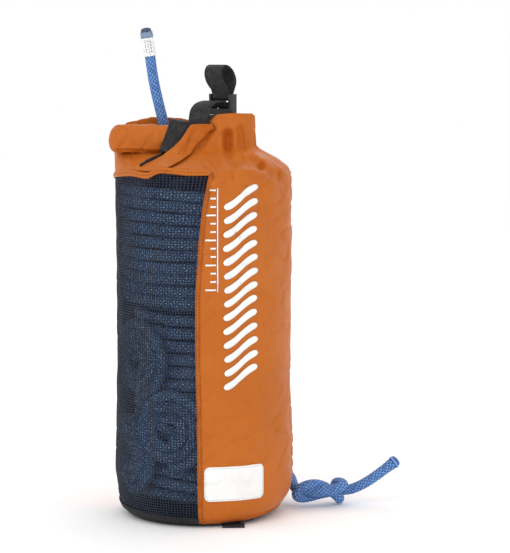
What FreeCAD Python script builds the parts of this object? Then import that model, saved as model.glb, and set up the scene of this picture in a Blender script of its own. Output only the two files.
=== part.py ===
import FreeCAD, Part
import math
import os

os.makedirs("parts", exist_ok=True)
V = FreeCAD.Vector

# ------------------------------------------------------------------ driving dimensions, mm
WALL = 1.2                 # coated fabric and mesh wall, with its hems
PROFILE = [(66.0, 0.0), (71.0, 1.8), (75.5, 6.0), (78.0, 12.0), (80.0, 20.0), (82.0, 40.0),
           (81.2, 90.0), (80.0, 160.0), (79.7, 220.0), (80.6, 270.0), (81.2, 298.0), (80.4, 316.0)]
BASE_TOP = 12.0            # height of the base cup
WALL_TOP = 316.0           # where the side wall meets the collar
SEAM_FRONT = -94.0         # azimuth of the front seam, degrees from +X
SEAM_REAR = -196.0         # azimuth of the rear seam
BIND_W = 4.0               # seam binding, width on the surface
COLLAR_TOP = 336.0         # where the collar folds into the roll
ROLL_X0, ROLL_X1 = -85.0, 4.0
ROLL_Y0, ROLL_Y1 = -20.0, 11.7
ROLL_Z0, ROLL_Z1 = 336.3, 360.0
ROPE_D = 10.0              # kernmantle rope
ROPE_R = ROPE_D / 2.0
WEB_W = 20.0               # webbing width
WEB_T = 1.6                # webbing thickness
BUCKLE_AZ = -40.0          # how far the buckle is turned about Z
BUCKLE_X, BUCKLE_Y = 18.0, 2.0
GROMMET_AZ = 32.0          # azimuth of the low rope exit
GROMMET_Z = 30.0
GROMMET_BORE_R = 6.5
PILE_TOP = 300.0
SLIDE = 20.0               # how far the male half is drawn out

# rope routes: points of the route, mm
UPPER = [(-33.5, 5.6, PILE_TOP), (-33.5, 5.6, 318.0), (-34.0, 5.7, 338.0), (-35.6, 5.6, 357.0),
         (-40.2, 5.2, 376.0), (-44.2, 4.2, 393.0), (-46.8, 3.2, 409.0), (-49.0, 2.4, 427.0),
         (-51.8, 1.8, 444.0)]
CA, SA = math.cos(math.radians(GROMMET_AZ)), math.sin(math.radians(GROMMET_AZ))
LOWER = [(73.0 * CA, 73.0 * SA, GROMMET_Z), (85.0 * CA, 85.0 * SA, GROMMET_Z - 0.2),
         (84.0, 50.2, 26.6)]
KNOT = (84.0, 142.0, 28.0, 56.0, 0.0, 29.0)
TAIL = [(137.0, 42.0, 22.2), (151.0, 42.4, 31.0), (165.5, 42.0, 40.6), (179.0, 41.2, 48.8)]


def save(shape, name):
    if shape.ShapeType == "Compound" and len(shape.Solids) == 1:
        shape = shape.Solids[0]
    assert shape.isValid(), name
    assert len(shape.Solids) == 1, (name, len(shape.Solids))
    shape.exportStep("parts/%s.step" % name)
    b = shape.BoundBox
    print("%-28s vol %10.1f  x %7.1f %7.1f  y %7.1f %7.1f  z %7.1f %7.1f" % (
        name, shape.Volume, b.XMin, b.XMax, b.YMin, b.YMax, b.ZMin, b.ZMax))
    return shape


def radius_at(z):
    for (r0, z0), (r1, z1) in zip(PROFILE, PROFILE[1:]):
        if z <= z1:
            return r0 + (r1 - r0) * (z - z0) / (z1 - z0)
    return PROFILE[-1][0]


def profile_pts(offset, z0, z1):
    """points of the wall's profile between two heights, moved outward by offset"""
    zs = [z0] + [z for _, z in PROFILE if z0 + 2.0 < z < z1 - 2.0] + [z1]
    return [V(radius_at(z) + offset, 0, z) for z in zs]


def curve(pts):
    if len(pts) == 2:
        return Part.makeLine(pts[0], pts[1])
    c = Part.BSplineCurve()
    c.interpolate(pts)
    return c.toShape()


def sector(outer, inner, z0, z1, az0, az1):
    """a strip of the wall between two azimuths, as a closed solid"""
    a = profile_pts(outer, z0, z1)
    b = profile_pts(inner, z0, z1)
    wire = Part.Wire([curve(a), Part.makeLine(a[-1], b[-1]), curve(list(reversed(b))),
                      Part.makeLine(b[0], a[0])])
    face = Part.Face(wire)
    face = face.copy()
    face.rotate(V(0, 0, 0), V(0, 0, 1), az0)
    s = face.revolve(V(0, 0, 0), V(0, 0, 1), az1 - az0)
    if s.ShapeType != "Solid":
        s = s.Solids[0]
    if s.Volume < 0:
        s.reverse()
    return s


def box(x0, x1, y0, y1, z0, z1):
    return Part.makeBox(x1 - x0, y1 - y0, z1 - z0, V(x0, y0, z0))


def fillet_all(s, r, pick):
    edges = [e for e in s.Edges if pick(e)]
    return s.makeFillet(r, edges)


def along(e, axis):
    d = e.Vertexes[-1].Point - e.Vertexes[0].Point
    return d.Length > 1e-6 and abs(d.normalize().dot(axis)) > 0.999


def buckle_place(s):
    """from the buckle's own axes (u width, v thickness, z up) to the bag's"""
    s = s.copy()
    s.rotate(V(0, 0, 0), V(0, 0, 1), BUCKLE_AZ)
    s.translate(V(BUCKLE_X, BUCKLE_Y, 0))
    return s


def strip_vz(path, width, thick, u0=0.0):
    """webbing that runs in the buckle's v-z plane: a mitred band of the given thickness"""
    n = len(path)
    left, right = [], []
    for i, (v, z) in enumerate(path):
        ds = []
        if i > 0:
            ds.append((v - path[i - 1][0], z - path[i - 1][1]))
        if i < n - 1:
            ds.append((path[i + 1][0] - v, path[i + 1][1] - z))
        ns = []
        for dx, dz in ds:
            l = math.hypot(dx, dz)
            ns.append((-dz / l, dx / l))
        if len(ns) == 1:
            m, k = ns[0], 1.0
        else:
            sx, sz = ns[0][0] + ns[1][0], ns[0][1] + ns[1][1]
            l = math.hypot(sx, sz)
            m = (sx / l, sz / l)
            k = 1.0 / max(0.5, m[0] * ns[0][0] + m[1] * ns[0][1])
        h = thick / 2.0 * k
        left.append(V(u0 - width / 2, v + m[0] * h, z + m[1] * h))
        right.append(V(u0 - width / 2, v - m[0] * h, z - m[1] * h))
    pts = left + list(reversed(right))
    w = Part.makePolygon(pts + [pts[0]])
    return Part.Face(w).extrude(V(width, 0, 0))


def ribbon(stations, width, thick):
    """webbing through stations of (centre, width direction, normal), ruled between them"""
    wires = []
    for c, w, n in stations:
        c, w, n = V(*c), V(*w).normalize(), V(*n).normalize()
        n = (n - w * w.dot(n)).normalize()
        a, b = w * (width / 2), n * (thick / 2)
        p = [c - a - b, c + a - b, c + a + b, c - a + b]
        wires.append(Part.makePolygon(p + [p[0]]))
    return Part.makeLoft(wires, True, True)


def tube(route, r, name):
    """round cord along straight runs joined by tangent arcs"""
    pts = [V(*p) for p in route]
    runs = [(b - a).Length for a, b in zip(pts, pts[1:])]
    edges, at, radii, length = [], pts[0], [], 0.0
    for i in range(1, len(pts) - 1):
        d0 = (pts[i] - pts[i - 1]).normalize()
        d1 = (pts[i + 1] - pts[i]).normalize()
        turn = math.acos(max(-1.0, min(1.0, d0.dot(d1))))
        t = 0.45 * min(runs[i - 1], runs[i])
        rad = t / math.tan(turn / 2)
        radii.append(rad)
        p0, p1 = pts[i] - d0 * t, pts[i] + d1 * t
        bis = (d1 - d0).normalize()
        centre = pts[i] + bis * (rad / math.cos(turn / 2))
        mid = centre - bis * rad
        edges.append(Part.LineSegment(at, p0).toShape())
        edges.append(Part.Arc(p0, mid, p1).toShape())
        length += (p0 - at).Length + rad * turn
        at = p1
    edges.append(Part.LineSegment(at, pts[-1]).toShape())
    length += (pts[-1] - at).Length
    path = Part.Wire(edges)
    d = (pts[1] - pts[0]).normalize()
    ring = Part.Wire(Part.makeCircle(r, pts[0], d))
    s = path.makePipeShell([ring], True, False)
    if s.ShapeType != "Solid":
        s = s.Solids[0]
    print("%s: length %.1f, radii %s, volume %.1f against %.1f" % (
        name, length, [round(x, 1) for x in radii], s.Volume, math.pi * r * r * length))
    return s


# ------------------------------------------------------------------ side wall, base, collar
wall = sector(0.0, -WALL, BASE_TOP + 0.3, WALL_TOP, SEAM_FRONT + 0.05, SEAM_REAR + 360.0 - 0.05)
radial = V(CA, SA, 0)
bore = Part.makeCylinder(8.6, 30, radial * 65 + V(0, 0, GROMMET_Z), radial)
wall = wall.cut(bore)
mesh = sector(0.0, -WALL, BASE_TOP + 0.3, WALL_TOP, SEAM_REAR + 0.05, SEAM_FRONT - 0.05)

# base cup: flat disc with a turned-up edge
a = profile_pts(0.0, 0.0, BASE_TOP)
low = [V(0, 0, 0), a[0]]
b = [V(radius_at(z) - WALL, 0, z) for z in (BASE_TOP, 6.0, 2.6)]
base_wire = Part.Wire([Part.makeLine(low[0], low[1]), curve(a), Part.makeLine(a[-1], b[0]),
                       curve(b), Part.makeLine(b[-1], V(0, 0, 2.0)), Part.makeLine(V(0, 0, 2.0), low[0])])
base = Part.Face(base_wire).revolve(V(0, 0, 0), V(0, 0, 1), 360)
if base.ShapeType != "Solid":
    base = base.Solids[0]


def ellipse(cx, cy, ax, by, z):
    if ax >= by:
        e = Part.Ellipse(V(cx, cy, z), ax, by)
    else:
        e = Part.Ellipse(V(cx, cy + by, z), V(cx + ax, cy, z), V(cx, cy, z))
    return Part.Wire(e.toShape())


# shoulder and collar: from the round wall to the flattened mouth
SECTIONS = [(0.0, 0.0, 80.4, 80.3, WALL_TOP + 0.3), (-1.0, 0.0, 80.0, 68.0, 323.0),
            (-10.0, 0.0, 74.0, 44.0, 330.0), (-18.0, -1.5, 66.0, 19.0, COLLAR_TOP)]
outer = Part.makeLoft([ellipse(*s) for s in SECTIONS], True, False)
inner = Part.makeLoft([ellipse(x, y, ax - 3.0, by - 3.0, z + dz) for (x, y, ax, by, z), dz in
                       zip(SECTIONS, (-0.01, 0, 0, 0.01))], True, False)
collar = outer.cut(inner)

# rolled mouth: the flattened collar turned over on itself, notched where the rope comes out
roll = box(ROLL_X0, ROLL_X1, ROLL_Y0, ROLL_Y1, ROLL_Z0, ROLL_Z1)
roll = fillet_all(roll, 8.0, lambda e: along(e, V(1, 0, 0)) and e.BoundBox.YMax < 0)
roll = fillet_all(roll, 6.0, lambda e: e.BoundBox.XMax < ROLL_X0 + 0.01)
notch = box(-42.0, -27.0, -0.6, ROLL_Y1 + 1, ROLL_Z0 - 1, ROLL_Z1 + 1)
roll = roll.cut(notch)
stiff = box(-78.0, 0.0, -11.0, -9.4, 339.5, 357.0)
roll = roll.cut(stiff)
fold_right = box(ROLL_X1 + 0.3, 46.0, -16.0, 11.7, ROLL_Z0, 338.0)

# layer behind the roll, and the ridge that stands in front of the buckle
flap = Part.makePolygon([V(-78, 12, 330), V(3, 12, 330), V(3, 12, 352), V(-12, 12, 363), V(-40, 12, 367),
                         V(-74, 12, 362), V(-80, 12, 352), V(-78, 12, 330)])
flap = Part.Face(flap).extrude(V(0, 2.0, 0)).cut(outer)
flap = sorted(flap.Solids, key=lambda s: -s.Volume)[0]
lip = Part.makePolygon([V(-13, -22.6, 338), V(-12.5, -22.6, 352), V(-12, -22.6, 358.6), V(3.5, -22.6, 360),
                        V(6.5, -22.6, 369.0), V(24, -22.6, 370.4), V(44, -22.6, 369.0), V(47.5, -22.6, 364),
                        V(49, -22.6, 341), V(44, -22.6, 338), V(-13, -22.6, 338)])
lip = Part.Face(lip).extrude(V(0, 2.4, 0))

# ------------------------------------------------------------------ seams, bindings, label
half = math.degrees(BIND_W / 2 / 81.0)
bind_front = sector(1.1, 0.1, BASE_TOP + 4, WALL_TOP, SEAM_FRONT - half, SEAM_FRONT + half)
bind_rear = sector(1.1, 0.1, BASE_TOP + 4, WALL_TOP, SEAM_REAR - half, SEAM_REAR + half)
top_seam = sector(1.0, 0.1, WALL_TOP - 6.0, WALL_TOP, SEAM_REAR + half + 0.2, SEAM_FRONT - half - 0.2)
base_bind = sector(1.1, 0.1, BASE_TOP - 3.0, BASE_TOP + 3.5, SEAM_FRONT - half, SEAM_REAR + 360 + half)
label = sector(0.6, 0.1, 27.0, 59.0, -89.0, -49.0)
tab = box(18.0, 38.0, -75.0, -60.0, 0.0, 1.6).cut(base)
tab = sorted(tab.Solids, key=lambda s: -s.Volume)[0]

# ------------------------------------------------------------------ low rope exit: two-part eyelet
def ring(r_in, r_out, d0, d1):
    c = radial * d0 + V(0, 0, GROMMET_Z)
    return Part.makeCylinder(r_out, d1 - d0, c, radial).cut(Part.makeCylinder(r_in, d1 - d0, c, radial))


face_r = radius_at(GROMMET_Z)
g_out = ring(GROMMET_BORE_R, 12.0, face_r + 0.3, face_r + 1.7)
g_out = g_out.makeFillet(0.6, [e for e in g_out.Edges if hasattr(e.Curve, "Radius") and abs(e.Curve.Radius - 12.0) < 0.01
                               and abs((e.Curve.Center.dot(radial)) - (face_r + 1.7)) < 0.01])
g_out = g_out.fuse(ring(GROMMET_BORE_R, 8.2, face_r - 3.2, face_r + 0.3)).removeSplitter()
g_in = ring(GROMMET_BORE_R, 12.0, face_r - 4.4, face_r - 3.2)

# ------------------------------------------------------------------ rope: pile, upper end, lower end
pts = [V(radius_at(z) - WALL - 1.0, 0, z) for z in (14.0, 20.0, 40.0, 90.0, 160.0, 220.0, 270.0, 290.0)]
top = [V(radius_at(290) - WALL - 1.0, 0, 290.0), V(68.0, 0, PILE_TOP), V(0, 0, PILE_TOP)]
foot = [V(0, 0, 3.0), V(62.0, 0, 3.0), V(70.0, 0, 6.0), pts[0]]
pw = Part.Wire([Part.makeLine(foot[0], foot[1]), Part.makeLine(foot[1], foot[2]), Part.makeLine(foot[2], foot[3]),
                curve(pts), Part.makeLine(top[0], top[1]), Part.makeLine(top[1], top[2]),
                Part.makeLine(top[2], foot[0])])
pile = Part.Face(pw).revolve(V(0, 0, 0), V(0, 0, 1), 360)
if pile.ShapeType != "Solid":
    pile = pile.Solids[0]
pile = pile.cut(Part.makeCylinder(13.0, 30, radial * 73 + V(0, 0, GROMMET_Z), radial))

upper = tube(UPPER, ROPE_R, "rope_upper_tail")
d_end = (V(*UPPER[-1]) - V(*UPPER[-2])).normalize()
end = V(*UPPER[-1])
tag = Part.makeCylinder(5.9, 15.5, end - d_end * 22.0, d_end).cut(Part.makeCylinder(5.3, 15.5, end - d_end * 22.0, d_end))
tip_up = Part.makeCylinder(4.9, 4.0, end, d_end)
tip_up = tip_up.makeFillet(1.8, [e for e in tip_up.Edges if hasattr(e.Curve, "Center") and
                                 (e.Curve.Center - end).dot(d_end) > 3.9])

knot = box(*KNOT)
knot = fillet_all(knot, 9.0, lambda e: along(e, V(1, 0, 0)))
knot = fillet_all(knot, 4.0, lambda e: e.BoundBox.XMax < KNOT[0] + 0.01 or e.BoundBox.XMin > KNOT[1] - 0.01)
lower = tube(LOWER, ROPE_R, "rope_lower_lead").cut(knot).cut(pile)
lower = sorted(lower.Solids, key=lambda s: -s.Volume)[0]
tail = tube(TAIL, ROPE_R, "rope_tail").cut(knot)
tail = sorted(tail.Solids, key=lambda s: -s.BoundBox.XMax)[0]
d_tail = (V(*TAIL[-1]) - V(*TAIL[-2])).normalize()
t_end = V(*TAIL[-1])
tip_low = Part.makeCylinder(5.5, 6.0, t_end, d_tail)
tip_low = tip_low.makeFillet(2.6, [e for e in tip_low.Edges if hasattr(e.Curve, "Center") and
                                   (e.Curve.Center - t_end).dot(d_tail) > 5.9])

# ------------------------------------------------------------------ side-release buckle
female = box(-14, 14, -4.5, 4.5, 344.5, 368.0)
female = fillet_all(female, 2.0, lambda e: along(e, V(0, 0, 1)))
female = female.cut(box(-11.6, 11.6, -2.9, 2.9, 352.0, 369.0))          # throat
for s in (-1, 1):
    x0, x1 = sorted((s * 9.0, s * 15.0))
    female = female.cut(box(x0, x1, -2.9, 2.9, 353.0, 361.0))           # side windows
female = female.cut(box(-10.5, 10.5, -5, 5, 347.5, 350.0))              # webbing slot
female = female.cut(box(-10.5, 10.5, -5, -2.2, 344.0, 347.6))           # bar, thinner than the rails
female = female.cut(box(-10.5, 10.5, 2.2, 5, 344.0, 347.6))
female = female.cut(box(-7.5, 7.5, -5.0, -3.9, 356.0, 364.0))           # shallow thumb recess

male = box(-14, 14, -4.5, 4.5, 368.4, 387.4)
male = fillet_all(male, 2.0, lambda e: along(e, V(0, 0, 1)))
male = male.cut(box(-10.5, 10.5, -5, 5, 374.0, 377.0))                  # lower slot
male = male.cut(box(-10.5, 10.5, -5, 5, 380.0, 388.0))                  # upper slot, open for the round bar
male = male.cut(box(-10.5, 10.5, -5, -2.2, 376.9, 380.1))
male = male.cut(box(-10.5, 10.5, 2.2, 5, 376.9, 380.1))
male = male.fuse(Part.makeCylinder(1.6, 22.0, V(-11, 0, 384.75), V(1, 0, 0)))
male = male.fuse(box(-2.2, 2.2, -2.2, 2.2, 353.6, 368.4)).removeSplitter()


def prong(s):
    """springing side arm with its barb; s is -1 for left, +1 for right"""
    p = [(5.5, 367.9), (8.3, 367.9), (8.6, 361.2), (11.1, 360.4), (11.2, 357.0), (9.6, 353.8), (7.6, 353.6),
         (7.2, 360.0)]
    q = [V(s * u, -2.4, z) for u, z in p]
    f = Part.Face(Part.makePolygon(q + [q[0]]))
    return f.extrude(V(0, 4.8, 0))


prong_l, prong_r = prong(-1), prong(1)

# webbing that sews the female half to the collar: up through its slot and back down
anchor = box(-WEB_W / 2, WEB_W / 2, -4.1, 4.1, 338.3, 349.5).cut(box(-11, 11, -2.5, 2.5, 338.0, 347.8))

# webbing on the male half: down its face, round the lower bar
drop = strip_vz([(-17.0, 390.4), (-13.2, 392.0), (-9.0, 391.6), (-6.4, 388.6), (-5.5, 384.0), (-4.9, 379.2),
                 (-3.6, 375.5), (0.0, 375.4), (3.4, 375.6), (3.6, 380.6)], WEB_W, 1.4)
strap_tail = strip_vz([(5.7, 386.0), (5.9, 372.0), (6.4, 358.0), (6.2, 345.0)], WEB_W, 1.4)

# haul loop: a foot round the male half's top bar and a teardrop of webbing above
def loop_solid():
    # the foot ring
    c = V(-WEB_W / 2 + 0.0, 0, 384.75)
    foot_ring = Part.makeCylinder(3.7, WEB_W, c, V(1, 0, 0)).cut(Part.makeCylinder(2.1, WEB_W, c, V(1, 0, 0)))
    # the teardrop: outer and inner closed outlines, extruded across the webbing
    def outline(shrink):
        h0, h1 = 388.2 + shrink * 1.6, 417.5 - shrink
        w = 9.8 - shrink
        p = []
        n = 24
        for i in range(n):
            a = 2 * math.pi * i / n
            k = (1 - math.cos(a)) / 2                # 0 at the foot, 1 at the top
            zz = h0 + (h1 - h0) * k
            ww = w * math.sin(a) * (0.36 + 0.64 * k ** 0.8) * 1.12
            p.append(V(-WEB_W / 2, -ww, zz))
        return p
    outer_p, inner_p = outline(0.0), outline(WEB_T)
    co, ci = Part.BSplineCurve(), Part.BSplineCurve()
    co.interpolate(outer_p, True)
    ci.interpolate(inner_p, True)
    f = Part.Face(Part.Wire(co.toShape())).cut(Part.Face(Part.Wire(ci.toShape())))
    f = f.Faces[0]
    drop_solid = f.extrude(V(WEB_W, 0, 0))
    return foot_ring.fuse(drop_solid).removeSplitter()


loop = loop_solid()

# strap over the roll, on the bag's side, and its diagonal lower run
top_strap = strip_vz([(-17.5, 390.1), (-22.0, 386.4), (-25.6, 380.0), (-28.0, 370.0), (-29.4, 361.8)], WEB_W, WEB_T, -1.0)
wd = (0.80, 0.0, -0.60)
front_strap = ribbon([((-52.0, -56.5, 322.0), (0.85, 0.25, -0.45), (0.1, -0.72, 0.69)),
                      ((-43.0, -40.0, 333.0), (0.82, 0.12, -0.55), (0.1, -0.75, 0.65)),
                      ((-35.5, -27.0, 343.0), (0.80, 0.0, -0.60), (0.0, -0.85, 0.52)),
                      ((-28.0, -21.6, 352.0), (0.80, 0.0, -0.60), (0.0, -1.0, 0.05)),
                      ((-21.5, -21.4, 359.0), (0.80, 0.0, -0.60), (0.0, -1.0, 0.0))], WEB_W, WEB_T)

save(wall, "body_panel")
save(mesh, "mesh_panel")
save(base, "base_panel")
save(collar, "collar_band")
save(roll, "rolled_collar")
save(stiff, "mouth_stiffener")
save(fold_right, "collar_fold_right")
save(flap, "collar_back_flap")
save(lip.cut(front_strap), "collar_front_lip")
save(bind_front, "mesh_seam_binding_front")
save(bind_rear, "mesh_seam_binding_rear")
save(sorted(top_seam.cut(mesh).Solids, key=lambda s: -s.Volume)[0], "mesh_top_seam")
bb = base_bind.cut(bind_front).cut(bind_rear).cut(base).cut(wall)
save(sorted(bb.Solids, key=lambda s: -s.Volume)[0], "base_binding")
save(sorted(label.cut(wall).Solids, key=lambda s: -s.Volume)[0], "label_patch")
save(tab, "base_tab")
save(sorted(g_out.cut(wall).Solids, key=lambda s: -s.Volume)[0], "rope_grommet_outer")
save(g_in, "rope_grommet_inner")
save(pile, "rope_pile")
save(upper, "rope_upper_tail")
save(tag.cut(upper), "rope_end_tag")
save(tip_up, "rope_tip_upper")
save(lower, "rope_lower_lead")
save(knot, "stopper_knot")
save(tail, "rope_tail")
save(tip_low, "rope_tip_lower")
save(buckle_place(female), "buckle_female")
save(buckle_place(male), "buckle_male")
save(buckle_place(prong_l), "buckle_prong_left")
save(buckle_place(prong_r), "buckle_prong_right")
save(buckle_place(anchor), "buckle_anchor_strap")
save(buckle_place(drop), "closure_strap_drop")
save(buckle_place(strap_tail), "closure_strap_tail")
save(buckle_place(loop), "haul_loop")
save(buckle_place(top_strap), "closure_strap_top")
save(front_strap.cut(outer).Solids[0] if len(front_strap.cut(outer).Solids) == 1 else
     sorted(front_strap.cut(outer).Solids, key=lambda s: -s.Volume)[0], "closure_strap_front")
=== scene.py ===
import bpy
import math
import numpy as np
from mathutils import Vector, Matrix, noise
from mathutils.bvhtree import BVHTree


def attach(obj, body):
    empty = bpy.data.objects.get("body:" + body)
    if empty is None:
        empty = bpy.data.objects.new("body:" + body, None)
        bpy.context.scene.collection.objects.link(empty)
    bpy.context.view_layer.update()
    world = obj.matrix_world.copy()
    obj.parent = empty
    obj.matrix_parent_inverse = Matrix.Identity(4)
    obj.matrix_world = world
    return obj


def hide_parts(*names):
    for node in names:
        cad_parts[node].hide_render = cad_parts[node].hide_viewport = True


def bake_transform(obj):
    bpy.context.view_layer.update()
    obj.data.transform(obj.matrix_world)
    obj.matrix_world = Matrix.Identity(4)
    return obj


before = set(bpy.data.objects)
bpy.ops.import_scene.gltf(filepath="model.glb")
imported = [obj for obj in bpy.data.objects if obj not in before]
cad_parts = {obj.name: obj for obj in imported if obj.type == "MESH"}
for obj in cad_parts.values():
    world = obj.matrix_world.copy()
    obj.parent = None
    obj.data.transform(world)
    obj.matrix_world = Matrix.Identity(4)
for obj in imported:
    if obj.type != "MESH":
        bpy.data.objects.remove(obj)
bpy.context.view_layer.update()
MM = 0.001
RNG = np.random.default_rng(7)

# ------------------------------------------------------------------ camera
scene = bpy.context.scene
ELEV = math.radians(6.2)
DIST = 2.05
AIM = Vector((0.0475, 0.0, 0.2195))
cam_data = bpy.data.cameras.new("camera")
cam_data.lens = 36.0 / 0.510 * DIST
cam_data.sensor_width = 36.0
cam_data.clip_start, cam_data.clip_end = 0.05, 30.0
cam = bpy.data.objects.new("camera", cam_data)
scene.collection.objects.link(cam)
cam.location = AIM + Vector((0.0, -math.cos(ELEV), math.sin(ELEV))) * DIST
cam.rotation_euler = (AIM - cam.location).to_track_quat("-Z", "Y").to_euler()
scene.camera = cam
scene.view_settings.view_transform = "Standard"


# ------------------------------------------------------------------ materials
def new_mat(name, color, rough=0.6):
    m = bpy.data.materials.new(name)
    m.use_nodes = True
    nt = m.node_tree
    b = nt.nodes["Principled BSDF"]
    b.inputs["Base Color"].default_value = (*color, 1.0)
    b.inputs["Roughness"].default_value = rough
    return m, nt, b


def math_node(nt, op, a, b=None, c=None):
    n = nt.nodes.new("ShaderNodeMath")
    n.operation = op
    for i, v in enumerate((a, b, c)):
        if v is None:
            continue
        if isinstance(v, (int, float)):
            n.inputs[i].default_value = v
        else:
            nt.links.new(v, n.inputs[i])
    return n.outputs[0]


def ramp(nt, fac, stops):
    r = nt.nodes.new("ShaderNodeValToRGB")
    while len(r.color_ramp.elements) < len(stops):
        r.color_ramp.elements.new(0.5)
    for e, (p, c) in zip(r.color_ramp.elements, stops):
        e.position = p
        e.color = (*c, 1.0) if len(c) == 3 else c
    nt.links.new(fac, r.inputs["Fac"])
    return r.outputs["Color"]


def noise_node(nt, vec, scale, detail=3.0, rough=0.5):
    n = nt.nodes.new("ShaderNodeTexNoise")
    n.inputs["Scale"].default_value = scale
    n.inputs["Detail"].default_value = detail
    n.inputs["Roughness"].default_value = rough
    nt.links.new(vec, n.inputs["Vector"])
    return n.outputs["Fac"]


def bump(nt, b, height, strength, distance, base=None):
    n = nt.nodes.new("ShaderNodeBump")
    n.inputs["Strength"].default_value = strength
    n.inputs["Distance"].default_value = distance
    nt.links.new(height, n.inputs["Height"])
    if base is not None:
        nt.links.new(base, n.inputs["Normal"])
    if b is not None:
        nt.links.new(n.outputs["Normal"], b.inputs["Normal"])
    return n.outputs["Normal"]


def coords(nt):
    t = nt.nodes.new("ShaderNodeTexCoord")
    return t.outputs["Object"]


def uv_xy(nt):
    u = nt.nodes.new("ShaderNodeUVMap")
    s = nt.nodes.new("ShaderNodeSeparateXYZ")
    nt.links.new(u.outputs["UV"], s.inputs[0])
    return s.outputs["X"], s.outputs["Y"]


def fabric(name, dark, mid, light, pitch=0.00065, weave=0.25, rough=0.62, sheen=0.02, mottle=14.0, fine=0.35, crumple=0.0):
    """coated cloth: thread grid, soft mottling painted as shade and light, and fine grain; UV is in metres"""
    m, nt, b = new_mat(name, mid, rough)
    co = coords(nt)
    # painted shade and light: the large mottle noise (f1) makes soft darker and lighter patches in the colour; the fine
    # noise (f2) is grain
    f1 = noise_node(nt, co, mottle, 4.0, 0.55)
    f2 = noise_node(nt, co, 160.0, 3.0, 0.6)
    f = math_node(nt, "ADD", math_node(nt, "MULTIPLY", f1, 0.7), math_node(nt, "MULTIPLY", f2, 0.3))
    col = ramp(nt, f, [(0.30, dark), (0.5, mid), (0.70, light)])
    u, v = uv_xy(nt)
    k = 2 * math.pi / pitch
    wu = math_node(nt, "SINE", math_node(nt, "MULTIPLY", u, k))
    wv = math_node(nt, "SINE", math_node(nt, "MULTIPLY", v, k))
    th = math_node(nt, "MULTIPLY", wu, wv)
    mix = nt.nodes.new("ShaderNodeMixRGB")
    mix.blend_type = "MULTIPLY"
    nt.links.new(math_node(nt, "MULTIPLY_ADD", th, fine * 0.5, fine * 0.5), mix.inputs["Fac"])
    nt.links.new(col, mix.inputs["Color1"])
    mix.inputs["Color2"].default_value = (0.80, 0.80, 0.80, 1)
    nt.links.new(mix.outputs["Color"], b.inputs["Base Color"])
    n1 = bump(nt, None, th, weave, 0.00012)
    if crumple:
        f3 = noise_node(nt, co, 11.0, 3.0, 0.55)
        ridge = math_node(nt, "POWER", math_node(nt, "ABSOLUTE", math_node(nt, "MULTIPLY_ADD", f3, 2.0, -1.0)), 0.6)
        n1 = bump(nt, None, ridge, crumple, 0.006, n1)
    bump(nt, b, f2, 0.25, 0.0004, n1)
    b.inputs["Sheen Weight"].default_value = sheen
    b.inputs["Sheen Roughness"].default_value = 0.4
    b.inputs["Specular IOR Level"].default_value = 0.22
    nt.links.new(math_node(nt, "MULTIPLY_ADD", f2, 0.2, rough - 0.1), b.inputs["Roughness"])
    return m


M_ORANGE = fabric("orange_cloth", (0.475, 0.116, 0.008), (0.520, 0.132, 0.010), (0.565, 0.150, 0.013), rough=0.5, crumple=0.5)
M_BIND = fabric("orange_tape", (0.36, 0.080, 0.005), (0.46, 0.110, 0.008), (0.56, 0.150, 0.016), pitch=0.0009, weave=0.5, rough=0.7, mottle=60.0)
M_BASE = fabric("base_cloth", (0.014, 0.014, 0.016), (0.022, 0.022, 0.025), (0.034, 0.034, 0.038), pitch=0.001, weave=0.6, rough=0.75, mottle=40.0)
M_NET = fabric("net_yarn", (0.010, 0.014, 0.026), (0.018, 0.024, 0.042), (0.034, 0.042, 0.066), pitch=0.0008, weave=0.5, rough=0.72, mottle=30.0)
M_LABEL = fabric("label_film", (0.80, 0.80, 0.79), (0.88, 0.88, 0.87), (0.93, 0.93, 0.93), pitch=0.0006, weave=0.12, rough=0.42, sheen=0.0, mottle=30.0, fine=0.1)
M_PRINT = fabric("print_ink", (0.84, 0.84, 0.82), (0.90, 0.90, 0.89), (0.95, 0.95, 0.94), pitch=0.00065, weave=0.25, rough=0.5, sheen=0.0, mottle=80.0, fine=0.2)
M_STIFF = fabric("stiff_strip", (0.02, 0.02, 0.02), (0.035, 0.035, 0.035), (0.05, 0.05, 0.05), rough=0.5)


def webbing(name, dark, mid, light):
    """woven tape: v-shaped twill across the width, round selvedge; u across in metres, v along in metres"""
    m, nt, b = new_mat(name, mid, 0.7)
    u, v = uv_xy(nt)
    au = math_node(nt, "ABSOLUTE", math_node(nt, "SUBTRACT", math_node(nt, "MODULO", math_node(nt, "ADD", u, 0.1), 0.005), 0.0025))
    tw = math_node(nt, "SINE", math_node(nt, "MULTIPLY", math_node(nt, "ADD", v, au), 2 * math.pi / 0.0016))
    rib = math_node(nt, "SINE", math_node(nt, "MULTIPLY", u, 2 * math.pi / 0.00125))
    h = math_node(nt, "ADD", math_node(nt, "MULTIPLY", tw, 0.6), math_node(nt, "MULTIPLY", rib, 0.4))
    co = coords(nt)
    f = noise_node(nt, co, 220.0, 3.0)
    fac = math_node(nt, "MULTIPLY_ADD", h, 0.22, math_node(nt, "MULTIPLY", f, 1.0))
    nt.links.new(ramp(nt, fac, [(0.25, dark), (0.5, mid), (0.8, light)]), b.inputs["Base Color"])
    bump(nt, b, h, 0.7, 0.00025)
    b.inputs["Sheen Weight"].default_value = 0.02
    b.inputs["Specular IOR Level"].default_value = 0.25
    return m


M_WEB = webbing("black_tape", (0.010, 0.010, 0.011), (0.022, 0.022, 0.024), (0.050, 0.050, 0.053))


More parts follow.
